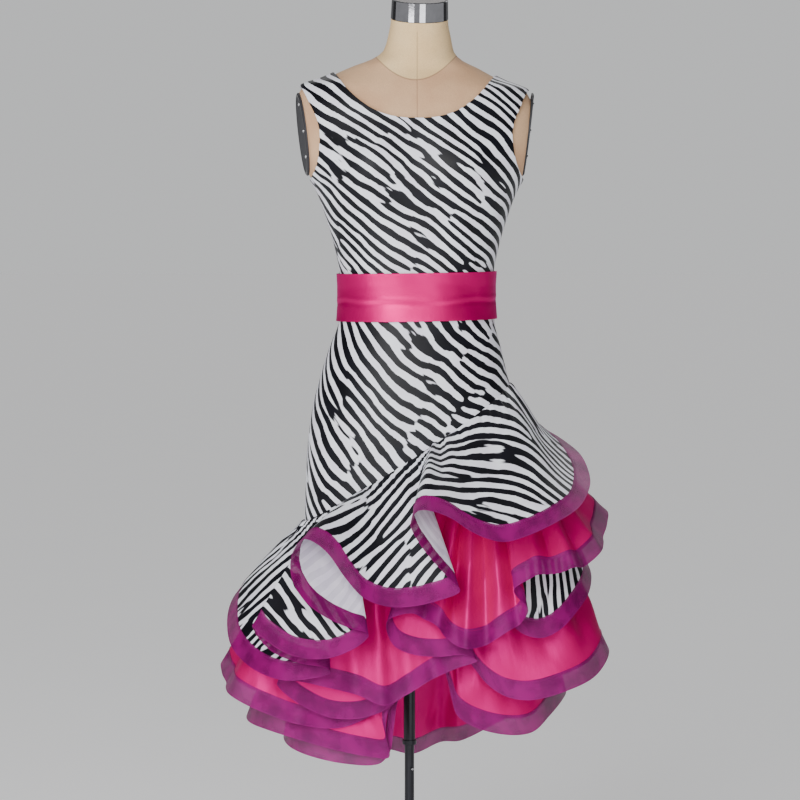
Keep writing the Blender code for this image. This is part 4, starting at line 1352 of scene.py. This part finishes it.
def floor():
    bpy.ops.object.select_all(action="DESELECT")
    bpy.ops.mesh.primitive_plane_add(size=120)
    obj = bpy.context.object
    obj.name = "floor"
    obj.data.materials.append(make_floor_paper())


def studio():
    """Soft light all round, brightest before the dress and dim at its sides."""
    world = bpy.data.worlds.new("studio")
    bpy.context.scene.world = world
    world.use_nodes = True
    tree = world.node_tree
    back = tree.nodes["Background"]
    way = tree.nodes.new("ShaderNodeTexCoord")
    parts = tree.nodes.new("ShaderNodeSeparateXYZ")
    tree.links.new(way.outputs["Generated"], parts.inputs[0])
    aside = tree.nodes.new("ShaderNodeMath")
    aside.operation = "ABSOLUTE"
    tree.links.new(parts.outputs[0], aside.inputs[0])
    dim = tree.nodes.new("ShaderNodeMapRange")
    dim.interpolation_type = "SMOOTHSTEP"
    for title, value in SIDE_DIM:
        dim.inputs[title].default_value = value
    tree.links.new(aside.outputs[0], dim.inputs["Value"])
    ray = tree.nodes.new("ShaderNodeLightPath")
    seen = tree.nodes.new("ShaderNodeMix")
    tree.links.new(ray.outputs["Is Camera Ray"], seen.inputs[0])
    tree.links.new(dim.outputs[0], seen.inputs[2])
    seen.inputs[3].default_value = WALL_LIGHT
    tree.links.new(seen.outputs[0], back.inputs["Strength"])
    back.inputs["Color"].default_value = (0.98, 0.99, 1.0, 1)


def lamp(name, place, aim, size, power):
    light = bpy.data.lights.new(name, "AREA")
    light.shape = "RECTANGLE"
    light.size, light.size_y = size
    light.energy = power
    obj = bpy.data.objects.new(name, light)
    bpy.context.scene.collection.objects.link(obj)
    obj.location = place
    way = Vector(aim) - Vector(place)
    obj.rotation_euler = way.to_track_quat("-Z", "Y").to_euler()


def sun(name, place, power):
    light = bpy.data.lights.new(name, "SUN")
    light.energy = power
    light.angle = math.radians(SUN_WIDTH)
    obj = bpy.data.objects.new(name, light)
    bpy.context.scene.collection.objects.link(obj)
    obj.rotation_euler = (-Vector(place)).to_track_quat("-Z", "Y").to_euler()


def camera():
    eye = bpy.data.cameras.new("camera")
    eye.sensor_width = FILM_WIDTH
    eye.lens = FILM_WIDTH * math.hypot(CAMERA_AWAY, CAMERA_UP - AIM_UP) / VIEW_WIDTH
    obj = bpy.data.objects.new("camera", eye)
    bpy.context.scene.collection.objects.link(obj)
    obj.location = (AIM_ASIDE, -CAMERA_AWAY, CAMERA_UP)
    way = Vector((AIM_ASIDE, 0, AIM_UP)) - obj.location
    obj.rotation_euler = way.to_track_quat("-Z", "Y").to_euler()
    bpy.context.scene.camera = obj


floor()
studio()
lamp("key", (-1.15, -3.1, 2.1), (0, 0, 0.95), (1.6, 1.9), 98)
lamp("strip", (0.50, -3.7, 1.6), (0, 0, 0.9), (0.45, 1.7), 20)
lamp("low_left", (-1.53, -2.38, 0.49), (0, 0, 1.47), (1.9, 0.5), 22)
lamp("low_right", (0.83, -2.68, 0.40), (0, 0, 1.47), (1.2, 0.5), 9)
sun("behind", (0.6, 3.0, 3.4), 1.0)
camera()
